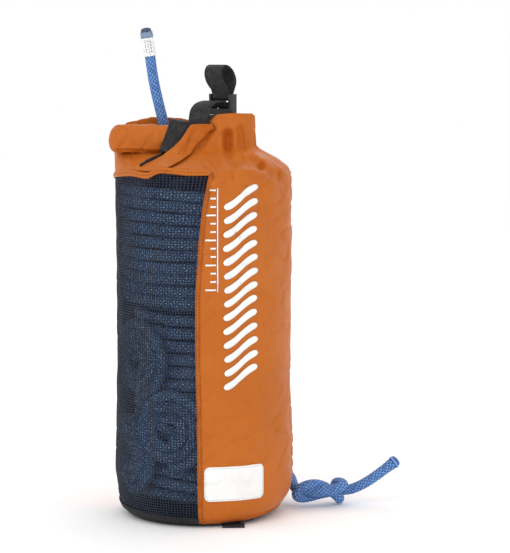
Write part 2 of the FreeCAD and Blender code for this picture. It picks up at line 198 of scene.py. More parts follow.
def rope_material(name, cells, pitch, blue, dark, crown_highlight):
    """braided sheath: strands over and under each other, with dark tracers; the strand colour is painted shade at the
    edges where strands dip and a painted highlight on their crowns; u once round, v along in metres
    """
    m, nt, b = new_mat(name, blue, 0.6)
    u, v = uv_xy(nt)
    uu = math_node(nt, "MULTIPLY", u, float(cells))
    vv = math_node(nt, "MULTIPLY", v, 1.0 / pitch)
    a = math_node(nt, "ADD", uu, vv)
    c = math_node(nt, "ADD", math_node(nt, "SUBTRACT", uu, vv), 4000.0)
    fa, fc = math_node(nt, "FLOOR", a), math_node(nt, "FLOOR", c)
    par = math_node(nt, "MODULO", math_node(nt, "ADD", fa, fc), 2.0)
    ra, rc = math_node(nt, "FRACT", a), math_node(nt, "FRACT", c)
    sa = math_node(nt, "SINE", math_node(nt, "MULTIPLY", ra, math.pi))
    sc = math_node(nt, "SINE", math_node(nt, "MULTIPLY", rc, math.pi))
    pick = math_node(nt, "ADD", math_node(nt, "MULTIPLY", sa, math_node(nt, "SUBTRACT", 1.0, par)), math_node(nt, "MULTIPLY", sc, par))
    ta = math_node(nt, "COMPARE", math_node(nt, "MODULO", fa, 4.0), 1.0, 0.1)
    tc = math_node(nt, "COMPARE", math_node(nt, "MODULO", fc, 4.0), 2.0, 0.1)
    tr = math_node(nt, "ADD", math_node(nt, "MULTIPLY", ta, math_node(nt, "SUBTRACT", 1.0, par)), math_node(nt, "MULTIPLY", tc, par))
    co = coords(nt)
    f = noise_node(nt, co, 900.0, 2.0)
    # painted shade and highlight: strand edges go dark (0.35 of the blue), strand crowns go toward the pale highlight
    # colour
    base = ramp(nt, math_node(nt, "MULTIPLY_ADD", pick, 0.75, math_node(nt, "MULTIPLY", f, 0.35)),
                [(0.25, tuple(x * 0.35 for x in blue)), (0.6, blue), (0.95, crown_highlight)])
    mix = nt.nodes.new("ShaderNodeMixRGB")
    nt.links.new(math_node(nt, "MULTIPLY", tr, 0.30), mix.inputs["Fac"])
    nt.links.new(base, mix.inputs["Color1"])
    mix.inputs["Color2"].default_value = (*dark, 1)
    nt.links.new(mix.outputs["Color"], b.inputs["Base Color"])
    bump(nt, b, pick, 0.6, 0.0004)
    b.inputs["Sheen Weight"].default_value = 0.05
    return m


CELLS, PITCH = 8, 0.0040
M_ROPE = rope_material("rope_sheath", CELLS, PITCH, (0.042, 0.135, 0.42), (0.02, 0.04, 0.20), (0.17, 0.38, 0.76))
# the turns inside the bag get a lighter copy of the same rope's colours: painted light
M_ROPE_IN_BRIGHTENED = rope_material("rope_sheath_inside_brightened", CELLS, PITCH, (0.095, 0.235, 0.56), (0.02, 0.05, 0.18), (0.40, 0.66, 0.95))


def plastic(name, col, rough, alpha_scale=300.0):
    m, nt, b = new_mat(name, col, rough)
    co = coords(nt)
    f = noise_node(nt, co, alpha_scale, 3.0)
    f2 = noise_node(nt, co, 2500.0, 2.0)
    nt.links.new(ramp(nt, f, [(0.35, tuple(x * 0.8 for x in col)), (0.65, tuple(min(1, x * 1.25) for x in col))]), b.inputs["Base Color"])
    nt.links.new(math_node(nt, "MULTIPLY_ADD", f, 0.25, rough - 0.1), b.inputs["Roughness"])
    bump(nt, b, f2, 0.12, 0.0002)
    return m


M_PLASTIC = plastic("moulded_black", (0.013, 0.013, 0.014), 0.28)
M_EYELET = plastic("eyelet_black", (0.016, 0.016, 0.017), 0.36)
M_TIP = plastic("melted_tip", (0.035, 0.055, 0.12), 0.25, 500.0)
M_SLEEVE = plastic("tag_film", (0.78, 0.80, 0.82), 0.3, 700.0)
M_CLEAR = plastic("sleeve_grey", (0.17, 0.24, 0.36), 0.22, 500.0)
M_THREAD = plastic("thread_dark", (0.30, 0.09, 0.02), 0.7, 900.0)
M_THREAD_BLACK = plastic("thread_black", (0.045, 0.045, 0.05), 0.6, 900.0)
M_THREAD_GREY = plastic("thread_grey", (0.45, 0.45, 0.44), 0.6, 900.0)


# ------------------------------------------------------------------ mesh helpers, all lengths in mm
def make_mesh(name, verts, faces, mat, uvs=None, smooth=True):
    me = bpy.data.meshes.new(name)
    me.from_pydata([tuple(float(c) * MM for c in v) for v in verts], [], [tuple(int(i) for i in f) for f in faces])
    me.update()
    if uvs is not None:
        layer = me.uv_layers.new(name="UVMap")
        idx = np.empty(len(me.loops), dtype=np.int32)
        me.loops.foreach_get("vertex_index", idx)
        layer.data.foreach_set("uv", np.asarray(uvs, dtype=np.float32)[idx].ravel())
    if smooth:
        me.polygons.foreach_set("use_smooth", [True] * len(me.polygons))
    ob = bpy.data.objects.new(name, me)
    scene.collection.objects.link(ob)
    me.materials.append(mat)
    return ob


def apply_mods(ob):
    dg = bpy.context.evaluated_depsgraph_get()
    me = bpy.data.meshes.new_from_object(ob.evaluated_get(dg))
    old = ob.data
    ob.modifiers.clear()
    ob.data = me
    bpy.data.meshes.remove(old)
    return ob


def solidify(ob, thickness, offset=-1.0):
    m = ob.modifiers.new("thick", "SOLIDIFY")
    m.thickness = thickness * MM
    m.offset = offset
    m.use_rim = True
    bpy.context.view_layer.update()
    return apply_mods(ob)


def recalc(ob):
    import bmesh
    bm = bmesh.new()
    bm.from_mesh(ob.data)
    bmesh.ops.recalc_face_normals(bm, faces=bm.faces)
    bm.to_mesh(ob.data)
    bm.free()
    return ob


def nz(x, y, z):
    return noise.noise(Vector((x, y, z)))


def nurbs_line(route, per=12):
    """the smooth line of a NURBS spline that has the route's points as its control points, mm"""
    c = bpy.data.curves.new("line", "CURVE")
    c.dimensions = "3D"
    s = c.splines.new("NURBS")
    s.points.add(len(route) - 1)
    for p, q in zip(s.points, route):
        p.co = (q[0] * MM, q[1] * MM, q[2] * MM, 1.0)
    s.order_u = 3
    s.use_endpoint_u = True
    c.resolution_u = per
    s.resolution_u = per
    ob = bpy.data.objects.new("line", c)
    scene.collection.objects.link(ob)
    bpy.context.view_layer.update()
    dg = bpy.context.evaluated_depsgraph_get()
    me = bpy.data.meshes.new_from_object(ob.evaluated_get(dg))
    pts = np.array([v.co[:] for v in me.vertices]) / MM
    bpy.data.meshes.remove(me)
    bpy.data.objects.remove(ob)
    bpy.data.curves.remove(c)
    return pts


def even(pts, step):
    seg = np.linalg.norm(np.diff(pts, axis=0), axis=1)
    keep = np.r_[True, seg > 1e-6]
    pts = pts[keep]
    s = np.r_[0, np.cumsum(np.linalg.norm(np.diff(pts, axis=0), axis=1))]
    n = max(2, int(round(s[-1] / step)) + 1)
    t = np.linspace(0, s[-1], n)
    return np.stack([np.interp(t, s, pts[:, k]) for k in range(3)], 1), t


def frames(pts):
    t = np.gradient(pts, axis=0)
    t /= np.linalg.norm(t, axis=1)[:, None]
    n = np.zeros_like(t)
    a = np.array([0.0, 0.0, 1.0]) if abs(t[0][2]) < 0.8 else np.array([1.0, 0.0, 0.0])
    v = a - t[0] * a.dot(t[0])
    n[0] = v / np.linalg.norm(v)
    for i in range(1, len(t)):
        v = n[i - 1] - t[i] * n[i - 1].dot(t[i])
        n[i] = v / np.linalg.norm(v)
    return t, n, np.cross(t, n)


def rope_tube(name, line, radius, step, seg, mat, braid=0.0, flare=None):
    pts, s = even(line, step)
    t, n, b = frames(pts)
    rings = len(pts)
    j = np.arange(seg)
    u = j / seg
    S, U = np.meshgrid(s, u, indexing="ij")
    r = np.full_like(S, radius)
    if braid:
        a = U * CELLS + S * MM / PITCH
        c = U * CELLS - S * MM / PITCH + 4000
        par = (np.floor(a) + np.floor(c)) % 2
        h = np.where(par < 0.5, np.sin(np.pi * (a % 1)), np.sin(np.pi * (c % 1)))
        r = r + braid * (h - 0.75)
    if flare is not None:
        r = r * flare(S / s[-1])
    ang = 2 * np.pi * U
    V = pts[:, None, :] + r[..., None] * (np.cos(ang)[..., None] * n[:, None, :] + np.sin(ang)[..., None] * b[:, None, :])
    # the faces wrap round the tube, and each face's UV runs on to 1, so the pattern closes round it
    V = V.reshape(-1, 3)
    faces = []
    for i in range(rings - 1):
        for k in range(seg):
            k2 = (k + 1) % seg
            faces.append((i * seg + k, i * seg + k2, (i + 1) * seg + k2, (i + 1) * seg + k))
    faces.append(tuple(range(seg - 1, -1, -1)))
    faces.append(tuple((rings - 1) * seg + k for k in range(seg)))
    me = bpy.data.meshes.new(name)
    me.from_pydata([tuple(float(c) * MM for c in v) for v in V], [], faces)
    me.update()
    layer = me.uv_layers.new(name="UVMap")
    uv = []
    for i in range(rings - 1):
        for k in range(seg):
            uv += [(k / seg, s[i] * MM), ((k + 1) / seg, s[i] * MM), ((k + 1) / seg, s[i + 1] * MM), (k / seg, s[i + 1] * MM)]
    uv += [(0, 0)] * (2 * seg)
    layer.data.foreach_set("uv", np.asarray(uv, dtype=np.float32).ravel())
    me.polygons.foreach_set("use_smooth", [True] * len(me.polygons))
    ob = bpy.data.objects.new(name, me)
    scene.collection.objects.link(ob)
    me.materials.append(mat)
    return ob, pts, float(s[-1])


def ribbon(name, path, widths, width, thick, mat, step=1.0, closed=False, smooth_pts=True):
    """flat tape with rounded edges along a path; widths are the directions across it at the path's points"""
    P = np.array(path, float)
    W = np.array(widths, float)
    n = len(P)
    # Catmull-Rom through the points
    if closed:
        P = np.vstack([P[-1], P, P[0], P[1]])
        W = np.vstack([W[-1], W, W[0], W[1]])
        spans = n
    else:
        P = np.vstack([2 * P[0] - P[1], P, 2 * P[-1] - P[-2]])
        W = np.vstack([W[0], W, W[-1]])
        spans = n - 1
    out, wo = [], []
    for i in range(spans):
        p0, p1, p2, p3 = P[i:i + 4]
        m = max(2, int(np.linalg.norm(p2 - p1) / step))
        for q in range(m):
            t = q / m
            out.append(0.5 * ((2 * p1) + (p2 - p0) * t + (2 * p0 - 5 * p1 + 4 * p2 - p3) * t * t + (3 * p1 - p0 - 3 * p2 + p3) * t ** 3))
            wo.append(W[i + 1] * (1 - t) + W[i + 2] * t)
    if not closed:
        out.append(P[-2]); wo.append(W[-2])
    C, Wd = np.array(out), np.array(wo)
    if closed:
        T = np.roll(C, -1, 0) - np.roll(C, 1, 0)
    else:
        T = np.gradient(C, axis=0)
    T /= np.linalg.norm(T, axis=1)[:, None]
    Wd = Wd - T * (Wd * T).sum(1)[:, None]
    Wd /= np.linalg.norm(Wd, axis=1)[:, None]
    N = np.cross(T, Wd)
    s = np.r_[0, np.cumsum(np.linalg.norm(np.diff(C, axis=0), axis=1))]
    h, e = width / 2, thick / 2
    prof = []
    top = np.linspace(-h + e, h - e, 11)
    for x in top:
        prof.append((x, e * (1.0 + 0.10 * math.cos(math.pi * x / h * 4))))
    for a in (60, 30, 0, -30, -60):
        prof.append((h - e + e * 1.15 * math.cos(math.radians(a)), e * 1.1 * math.sin(math.radians(a))))
    for x in top[::-1]:
        prof.append((x, -e * (1.0 + 0.10 * math.cos(math.pi * x / h * 4))))
    for a in (240, 210, 180, 150, 120):
        prof.append((-h + e + e * 1.15 * math.cos(math.radians(a)), e * 1.1 * math.sin(math.radians(a))))
    prof = np.array(prof)
    m = len(prof)
    V = (C[:, None, :] + prof[None, :, 0, None] * Wd[:, None, :] + prof[None, :, 1, None] * N[:, None, :]).reshape(-1, 3)
    faces, uv = [], []
    k = len(C)
    for i in range(k if closed else k - 1):
        i2 = (i + 1) % k
        s2 = s[i + 1] if i + 1 < k else s[-1] + np.linalg.norm(C[0] - C[-1])
        for q in range(m):
            q2 = (q + 1) % m
            faces.append((i * m + q, i * m + q2, i2 * m + q2, i2 * m + q))
            uv += [(prof[q][0] * MM, s[i] * MM), (prof[q2][0] * MM, s[i] * MM), (prof[q2][0] * MM, s2 * MM), (prof[q][0] * MM, s2 * MM)]
    if not closed:
        faces.append(tuple(range(m - 1, -1, -1)))
        faces.append(tuple((k - 1) * m + q for q in range(m)))
        uv += [(prof[q][0] * MM, 0.0) for q in range(m - 1, -1, -1)] + [(prof[q][0] * MM, s[-1] * MM) for q in range(m)]
    me = bpy.data.meshes.new(name)
    me.from_pydata([tuple(float(c) * MM for c in v) for v in V], [], faces)
    me.update()
    layer = me.uv_layers.new(name="UVMap")
    layer.data.foreach_set("uv", np.asarray(uv, dtype=np.float32).ravel())
    me.polygons.foreach_set("use_smooth", [True] * (len(me.polygons)))
    ob = bpy.data.objects.new(name, me)
    scene.collection.objects.link(ob)
    me.materials.append(mat)
    recalc(ob)
    return ob, C, Wd, N


def stitches(name, line, normals, mat, length=2.2, gap=1.0, r=0.28, lift=0.1):
    """a row of sewn stitches: small rounded threads laid end to end along a line"""
    P, s = even(np.array(line, float), 0.25)
    Nn = np.array(normals, float)
    src = np.r_[0, np.cumsum(np.linalg.norm(np.diff(np.array(line, float), axis=0), axis=1))]
    Ni = np.stack([np.interp(s, src, Nn[:, k]) for k in range(3)], 1)
    Ni /= np.linalg.norm(Ni, axis=1)[:, None]
    verts, faces = [], []
    at = 0.3
    while at + length < s[-1]:
        q = [at, at + 0.18 * length, at + 0.5 * length, at + 0.82 * length, at + length]
        rr = [0.12 * r, 0.85 * r, r, 0.85 * r, 0.12 * r]
        base = len(verts)
        for a, rad in zip(q, rr):
            c = np.array([np.interp(a, s, P[:, k]) for k in range(3)])
            c2 = np.array([np.interp(min(a + 0.3, s[-1]), s, P[:, k]) for k in range(3)])
            c1 = np.array([np.interp(max(a - 0.3, 0), s, P[:, k]) for k in range(3)])
            t = c2 - c1
            t /= np.linalg.norm(t)
            n = np.array([np.interp(a, s, Ni[:, k]) for k in range(3)])
            n = n - t * n.dot(t)
            n /= np.linalg.norm(n)
            b = np.cross(t, n)
            c = c + n * (lift + rad * 0.6)
            for g in range(6):
                ang = 2 * math.pi * g / 6
                verts.append(c + rad * (math.cos(ang) * n + math.sin(ang) * b))
        for i in range(4):
            for g in range(6):
                g2 = (g + 1) % 6
                faces.append((base + i * 6 + g, base + i * 6 + g2, base + (i + 1) * 6 + g2, base + (i + 1) * 6 + g))
        faces.append(tuple(base + g for g in range(5, -1, -1)))
        faces.append(tuple(base + 24 + g for g in range(6)))
        at += length + gap
    ob = make_mesh(name, verts, faces, mat)
    return recalc(ob)


def join(name, obs):
    """one object of several, keeping the first one's name space simple"""
    with bpy.context.temp_override(active_object=obs[0], selected_editable_objects=obs, selected_objects=obs):
        bpy.ops.object.join()
    obs[0].name = name
    obs[0].data.name = name
    return obs[0]

# ------------------------------------------------------------------ rope (cords come first)
ROPE_R = 5.0
UPPER = [(-33.5, 5.6, 300.0), (-33.5, 5.6, 318.0), (-34.0, 5.7, 338.0), (-35.6, 5.6, 357.0),
         (-40.2, 5.2, 376.0), (-44.2, 4.2, 393.0), (-46.8, 3.2, 409.0), (-49.0, 2.4, 427.0),
         (-51.8, 1.8, 444.0)]
upper, up_pts, up_len = rope_tube("rope_upper", nurbs_line(UPPER), ROPE_R - 0.25, 0.8, 48, M_ROPE, braid=0.55)
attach(upper, "bag")
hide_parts("rope_upper_tail")

# figure-8 stopper, its centreline as tied, then drawn out along the rope
K0 = [(-26.3, 45.8, -3.9), (-19.2, 49.9, -3.6), (-15.8, 52.2, -3.6), (-12.7, 54.8, -3.9), (-9.8, 57.2, -4.7),
      (-6.7, 58.9, -5.9), (-3.4, 59.2, -7.4), (-0.2, 58.1, -8.7), (2.4, 55.7, -9.4), (4.1, 52.5, -9.4), (4.7, 48.8, -8.7),
      (4.5, 45.0, -7.4), (3.9, 41.4, -5.7), (3.3, 38.3, -3.5), (2.8, 35.9, -0.5), (2.7, 34.8, 3.0), (2.7, 35.2, 6.6),
      (2.9, 37.0, 9.8), (3.1, 39.9, 12.0), (3.3, 43.5, 12.9), (3.2, 47.1, 12.3), (2.8, 50.1, 10.3), (2.0, 52.2, 7.4),
      (0.9, 53.0, 3.9), (-0.7, 52.6, 0.3), (-2.5, 51.7, -3.2), (-4.5, 51.2, -6.6), (-6.9, 51.5, -9.5), (-9.7, 52.8, -11.6),
      (-12.6, 54.8, -12.2), (-15.4, 57.0, -11.4), (-17.7, 58.8, -9.1), (-19.0, 59.9, -5.9), (-19.3, 60.1, -2.2),
      (-18.5, 59.1, 1.2), (-16.8, 57.2, 3.9), (-14.4, 54.8, 5.5), (-11.5, 52.0, 6.1), (-8.5, 49.3, 6.0), (-5.2, 46.9, 5.5),
      (-1.7, 45.1, 4.9), (2.2, 43.9, 4.3), (6.1, 42.8, 3.9), (10.1, 41.7, 3.5)]
KA = math.radians(205.0)


def knot_point(p):
    x = (p[0] + 7.0) * 1.95
    y, z = (p[1] - 47.5) * 0.84, p[2] * 0.84
    x += 0.28 * y
    return (107.5 + x, 25.0 + y * math.cos(KA) - z * math.sin(KA), 15.2 + y * math.sin(KA) + z * math.cos(KA))


KNOT = [knot_point(p) for p in K0[1:]]
low_z = min(p[2] for p in KNOT)
KNOT = [(p[0], p[1], p[2] - low_z + 5.3) for p in KNOT]
LOWER = ([(61.9, 38.7, 30.0), (72.6, 44.5, 29.6), (81.5, 41.0, 25.0)] + KNOT + [(152.0, 25.5, 21.0), (165.5, 28.0, 30.0), (178.0, 31.0, 39.0)])
lower, low_pts, low_len = rope_tube("rope_lower", nurbs_line(LOWER, 8), ROPE_R - 0.25, 0.8, 48, M_ROPE, braid=0.55,
                                    flare=lambda q: 1.0 + 0.14 * np.clip((q - 0.965) / 0.035, 0, 1))
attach(lower, "bag")
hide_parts("rope_lower_lead", "stopper_knot", "rope_tail")

PROFILE = [(66.0, 0.0), (71.0, 1.8), (75.5, 6.0), (78.0, 12.0), (80.0, 20.0), (82.0, 40.0), (81.2, 90.0), (80.0, 160.0),
           (79.7, 220.0), (80.6, 270.0), (81.2, 298.0), (80.4, 316.0)]
_pz = np.array([z for _, z in PROFILE])
_pr = np.array([r for r, _ in PROFILE])
_dz = np.linspace(0, 316, 633)
_dr = np.interp(_dz, _pz, _pr)
_k = np.ones(25) / 25
_sm = np.convolve(np.r_[np.full(12, _dr[0]), _dr, np.full(12, _dr[-1])], _k, "valid")
_wt = np.clip((_dz - 14) / 20, 0, 1)
_dr = _dr * (1 - _wt) + _sm * _wt


def radius(z):
    return float(np.interp(z, _dz, _dr))


# the stuffed rope: coils against the wall, loose swirls low down, an inner layer
SWIRLS = [(214.0, 150.0), (246.0, 88.0), (205.0, 62.0), (250.0, 212.0), (300.0, 140.0), (120.0, 120.0), (30.0, 100.0)]


def pile_route():
    pts = [(-33.5, 5.6, 298.0), (-36.5, 13.0, 299.5), (-30.0, 34.0, 302.0), (-8.0, 58.0, 304.0)]
    n = 14

    def helix(r_of, z0, z1, a0, pitch, wob):
        turns = abs(z1 - z0) / pitch
        m = int(turns * n)
        out = []
        for i in range(1, m + 1):
            a = a0 + 360.0 * i / n * (1 if z1 < z0 else 1)
            z = z0 + (z1 - z0) * i / m
            zz = z + wob * 5.0 * nz(math.cos(math.radians(a)) * 1.3, math.sin(math.radians(a)) * 1.3, z * 0.013)
            r = r_of(z) + wob * 1.2 * nz(a * 0.01, z * 0.05, 3.1)
            out.append((r * math.cos(math.radians(a)), r * math.sin(math.radians(a)), zz))
        return out, a0 + 360.0 * m / n

    up, a = helix(lambda z: radius(z) - 8.4, 304.0, 196.0, 100.0, 10.9, 1.0)
    pts += up
    mid, a = helix(lambda z: 61.0, 190.0, 24.0, a + 20, 11.5, 0.6)
    # leave the inner turns for a flat spiral against the wall, then come back
    out = []
    todo = sorted([((az - 0.0) % 360, z) for az, z in SWIRLS if z < 200], key=lambda q: -q[1])
    for k, p in enumerate(mid):
        out.append(p)
        if todo and k > 3:
            az, zc = todo[0]
            pa = math.degrees(math.atan2(p[1], p[0])) % 360
            if p[2] < zc + 8 and abs((pa - az + 180) % 360 - 180) < 360.0 / n * 0.6:
                turns, rr = 2.7, radius(zc) - 7.4
                m = int(turns * n)
                for i in range(m + 1):
                    t = i / m
                    ph = -math.pi / 2 + 2 * math.pi * turns * t
                    rad = 37.0 - 10.3 * turns * t
                    aa = math.radians(az) + rad * math.cos(ph) / rr
                    out.append((rr * math.cos(aa), rr * math.sin(aa), max(21.0, zc + rad * math.sin(ph))))
                out.append((66.0 * math.cos(math.radians(az)), 66.0 * math.sin(math.radians(az)), zc - 2))
                todo.pop(0)
    pts += out
    last = pts[-1]
    a = math.degrees(math.atan2(last[1], last[0]))
    inn, a = helix(lambda z: 49.5, 20.0, 276.0, a + 20, 12.5, 0.4)
    pts += inn
    pts += [(30.0 * math.cos(math.radians(a + 30)), 30.0 * math.sin(math.radians(a + 30)), 276.0), (8.0, 4.0, 268.0), (3.0, 2.0, 240.0), (2.0, 1.0, 200.0)]
    return pts


PILE = pile_route()
pile, pile_pts, pile_len = rope_tube("rope_inside", nurbs_line(PILE, 6), ROPE_R, 4.2, 12, M_ROPE_IN_BRIGHTENED)
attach(pile, "bag")
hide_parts("rope_pile")
print("ropes", round(up_len), round(low_len), round(pile_len))


# upper end: sleeve, sealed tip
t_end = up_pts[-1] - up_pts[-4]
t_end /= np.linalg.norm(t_end)


def lathe(name, origin, axis, prof, seg, mat, rough=0.0, freq=0.3):
    """closed shape turned about an axis: prof is (distance along, radius)"""
    ax = np.array(axis, float)
    ax /= np.linalg.norm(ax)
    a = np.array([0.0, 1.0, 0.0]) if abs(ax[1]) < 0.9 else np.array([1.0, 0, 0])
    n = a - ax * a.dot(ax)
    n /= np.linalg.norm(n)
    b = np.cross(ax, n)
    V, uv = [], []
    o = np.array(origin, float)
    for d, r in prof:
        for g in range(seg):
            w = 2 * math.pi * g / seg
            p = o + ax * d + r * (math.cos(w) * n + math.sin(w) * b)
            k = 1 + rough * nz(p[0] * freq, p[1] * freq, p[2] * freq) / max(r, 0.5)
            V.append(o + ax * d + r * k * (math.cos(w) * n + math.sin(w) * b))
            uv.append((g / seg * 2 * math.pi * r * MM, d * MM))
    F = []
    m = len(prof)
    for i in range(m - 1):
        for g in range(seg):
            F.append((i * seg + g, i * seg + (g + 1) % seg, (i + 1) * seg + (g + 1) % seg, (i + 1) * seg + g))
    F.append(tuple(range(seg - 1, -1, -1)))
    F.append(tuple((m - 1) * seg + g for g in range(seg)))
    return recalc(make_mesh(name, V, F, mat, uv))


def sleeve_along(name, pts, s0, s1, r_in, r_out, mat, rough=0.25):
    """film shrunk round the rope between two distances from its end"""
    s = np.r_[0, np.cumsum(np.linalg.norm(np.diff(pts, axis=0), axis=1))]
    L = s[-1]
    q = np.linspace(L - s1, L - s0, 40)
    C = np.stack([np.interp(q, s, pts[:, k]) for k in range(3)], 1)
    t, n, b = frames(C)
    seg = 40
    V, uv = [], []
    for i in range(len(q)):
        edge = min(i, len(q) - 1 - i) / 2.0
        for rad, side in ((r_out, 1), (r_in, 0)):
            pass
        ro = r_out - (0.25 if edge < 0.6 else 0.0)
        for g in range(seg):
            w = 2 * math.pi * g / seg
            d = ro + rough * nz(math.cos(w) * 2.2, math.sin(w) * 2.2, q[i] * 0.35) + 0.10 * math.sin(g * 2 * math.pi * 8 / seg + q[i] * 1.6)
            V.append(C[i] + d * (math.cos(w) * n[i] + math.sin(w) * b[i]))
            uv.append((g / seg * 0.03, q[i] * MM))
    F = []
    for i in range(len(q) - 1):
        for g in range(seg):
            F.append((i * seg + g, i * seg + (g + 1) % seg, (i + 1) * seg + (g + 1) % seg, (i + 1) * seg + g))
    ob = make_mesh(name, V, F, mat, uv)
    recalc(ob)
    return solidify(ob, 0.3, -1.0)


tag = sleeve_along("end_tag", up_pts, 5.5, 22.5, 5.2, 5.75, M_SLEEVE)
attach(tag, "bag"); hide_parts("rope_end_tag")
for k, off in enumerate((-0.42, 0.0, 0.42)):
    U_ = np.array(up_pts)
    dq = np.r_[0, np.cumsum(np.linalg.norm(np.diff(U_[::-1], axis=0), axis=1))]
    line, nrm = [], []
    for q in np.linspace(8.0, 20.0, 60):
        c = np.array([np.interp(q, dq, U_[::-1][:, j]) for j in range(3)])
        nn = np.array([math.sin(off), -math.cos(off), 0.0])
        line.append(tuple(c + nn * 5.85)); nrm.append(tuple(nn))
    marks = stitches("tag_marks_%d" % k, line, nrm, M_THREAD_BLACK, 1.0 + 0.5 * k, 0.9, 0.3, 0.0)
    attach(marks, "bag")
clear = sleeve_along("end_sleeve", up_pts, 0.2, 5.8, 5.2, 5.55, M_CLEAR, 0.15)
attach(clear, "bag")
tip_up = lathe("end_melted", up_pts[-1] - t_end * 0.3, t_end,
               [(0.0, 4.7), (0.8, 5.0), (1.8, 4.9), (2.8, 4.3), (3.5, 3.2), (3.9, 1.6), (4.0, 0.3)], 32, M_TIP, 0.5, 0.5)
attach(tip_up, "bag"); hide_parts("rope_tip_upper")
t_low = low_pts[-1] - low_pts[-4]
t_low /= np.linalg.norm(t_low)
tip_low = lathe("tail_melted", low_pts[-1] - t_low * 1.2, t_low,
                [(0.0, 5.2), (1.0, 5.75), (2.4, 5.95), (3.8, 5.7), (5.0, 5.0), (6.0, 3.8), (6.6, 2.2), (6.8, 0.4)], 36, M_ROPE, 0.5, 0.45)
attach(tip_low, "bag"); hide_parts("rope_tip_lower")

# ------------------------------------------------------------------ the bag's surface
SEAM_F, SEAM_R = -94.0, 164.0          # azimuths of the mesh window's two seams, the window runs 164 to 266


def px(x, y, dy=0.0):
    """front-view position from the layout's grid"""
    return ((x - 203.0) * 0.91, (519.0 + dy - y) * 0.91)


TOP_AZ = np.array([164, 178, 190, 205, 217, 224, 229, 234, 238, 242, 248, 255, 266.0])
TOP_Z = np.array([310, 311, 313.3, 315.3, 316.6, 316.2, 315.4, 315.0, 317.8, 320.6, 320.2, 318.8, 319.0])


def top_curve(az):
    return float(np.interp(az % 360, TOP_AZ, TOP_Z))


SEAM_Z = np.array([0, 5, 80, 150, 210, 260, 290, 305, 318, 340.0])
SEAM_D = np.array([3.2, 3.1, 2.7, 1.6, 1.7, 4.2, 6.8, 9.0, 11.0, 11.0])


def lean(az, z):
    """the front seam is not quite upright: the cloth beside it shifts with it"""
    d = abs((az - SEAM_F + 180.0) % 360.0 - 180.0)
    return az + float(np.interp(z, SEAM_Z, SEAM_D)) * max(0.0, 1.0 - d / 26.0)


def tuck(az, z):
    """how far the foot draws in at the right, where the cloth rounds under"""
    d = (az + 14.0 + 180.0) % 360.0 - 180.0
    return 12.0 * math.exp(-(d / 44.0) ** 2) * max(0.0, 1.0 - z / 30.0) ** 2


def in_window(az):
    return 164.0 - 1e-6 <= az % 360 <= 266.0 + 1e-6


def disp_wall(az, z):
    a = math.radians(az)
    c, s = math.cos(a), math.sin(a)
    d = 1.3 * nz(c * 1.8, s * 1.8, z * 0.011) + 0.9 * nz(c * 4.0, s * 4.0, z * 0.030 + 9.0)
    # diagonal drag lines, stronger low down and near the top
    k = 0.55 + 0.45 * abs(z - 165.0) / 150.0
    d += 1.2 * k * nz(c * 3.0 + z * 0.018, s * 3.0 - z * 0.018, z * 0.045 + 20.0)
    f = nz(c * 2.2, s * 2.2, z * 0.05 + 40.0)
    d -= 1.6 * k * max(0.0, 1.0 - abs(f) / 0.10)       # narrow creases
    d = max(d, -2.6)
    if in_window(az):
        d = 0.35 * d + 0.7 * nz(c * 5, s * 5, z * 0.06 + 3.0)
    # slack toward the hem
    d *= min(1.0, max(0.15, (z - 6.0) / 30.0))
    return d


M_AZ = np.array([0, 10, 20, 45, 70, 90, 110, 135, 160, 172, 180, 188, 200, 210, 225, 240, 252, 262, 270, 285, 300, 320, 340, 350, 360.0])
M_X = np.array([47, 47, 44, 33, 14, -2, -22, -48, -70, -79, -82, -79.5, -73, -66, -52, -35, -22, -11, -2, 14, 28, 39, 45.5, 47, 47.0])
M_Y = np.array([-6, 1, 7, 15, 18.5, 17.5, 14.5, 13, 12, 8, 2.5, -2, -3.3, -3.5, -3.5, -4.5, -13, -19.5, -21.5, -23.3, -23.3, -21.5, -16, -11, -6.0])
H_AZ = np.array([0, 8, 18, 30, 60, 80, 92, 110, 135, 160, 172, 180, 188, 200, 240, 254, 262, 270, 277, 284, 300, 335, 347, 354, 360.0])
H_Z = np.array([360, 356, 351, 350, 351, 353, 361, 365, 366, 361, 354, 350, 350, 352, 352, 355, 359.5, 360.5, 363, 369.5, 370.8, 370.2, 369, 366, 360.0])
S_T = np.array([0, .12, .3, .45, .58, .70, 1.0])
S_W = np.array([0, .07, .36, .64, .84, .96, 1.0])
S_Z = np.array([316, 321.5, 328.5, 333.5, 337.0, 340.5])


def smooth_rows(a, k):
    ker = np.hanning(k + 2)[1:-1]
    ker /= ker.sum()
    h = k // 2
    return np.convolve(np.r_[a[:1].repeat(h), a, a[-1:].repeat(h)], ker, "valid")


_tt = np.linspace(0, 1, 101)
_W = smooth_rows(np.interp(_tt, S_T, S_W), 11)
_W[0], _W[-1] = 0, 1

CREASES = [([(228, 133), (228, 150), (233, 157), (252, 158), (260, 163)], 5.4, 3.4),
           ([(262, 163), (276, 172), (286, 184)], 3.6, 3.2),
           ([(212, 128), (204, 140), (193, 152), (172, 161)], 3.2, 3.0),
           ([(240, 128), (243, 146)], 2.0, 3.0),
           ([(214, 150), (216, 170)], 1.6, 4.0),
           ([(250, 165), (262, 186)], 1.8, 4.0),
           ([(232, 163), (226, 182)], 1.6, 4.5),
           ([(150, 163), (160, 172)], 1.4, 4.0)]
CREASES = [([px(*p) for p in line], d, w) for line, d, w in CREASES]


def crease_depth(x, z):
    out = 0.0
    for line, d, w in CREASES:
        best = 1e9
        for (x0, z0), (x1, z1) in zip(line, line[1:]):
            dx, dz = x1 - x0, z1 - z0
            t = max(0.0, min(1.0, ((x - x0) * dx + (z - z0) * dz) / (dx * dx + dz * dz)))
            best = min(best, math.hypot(x - x0 - t * dx, z - z0 - t * dz))
        g = best / w
        out += d * (math.exp(-g * g) - 0.45 * math.exp(-((g - 1.9) ** 2) * 1.4))
    return out


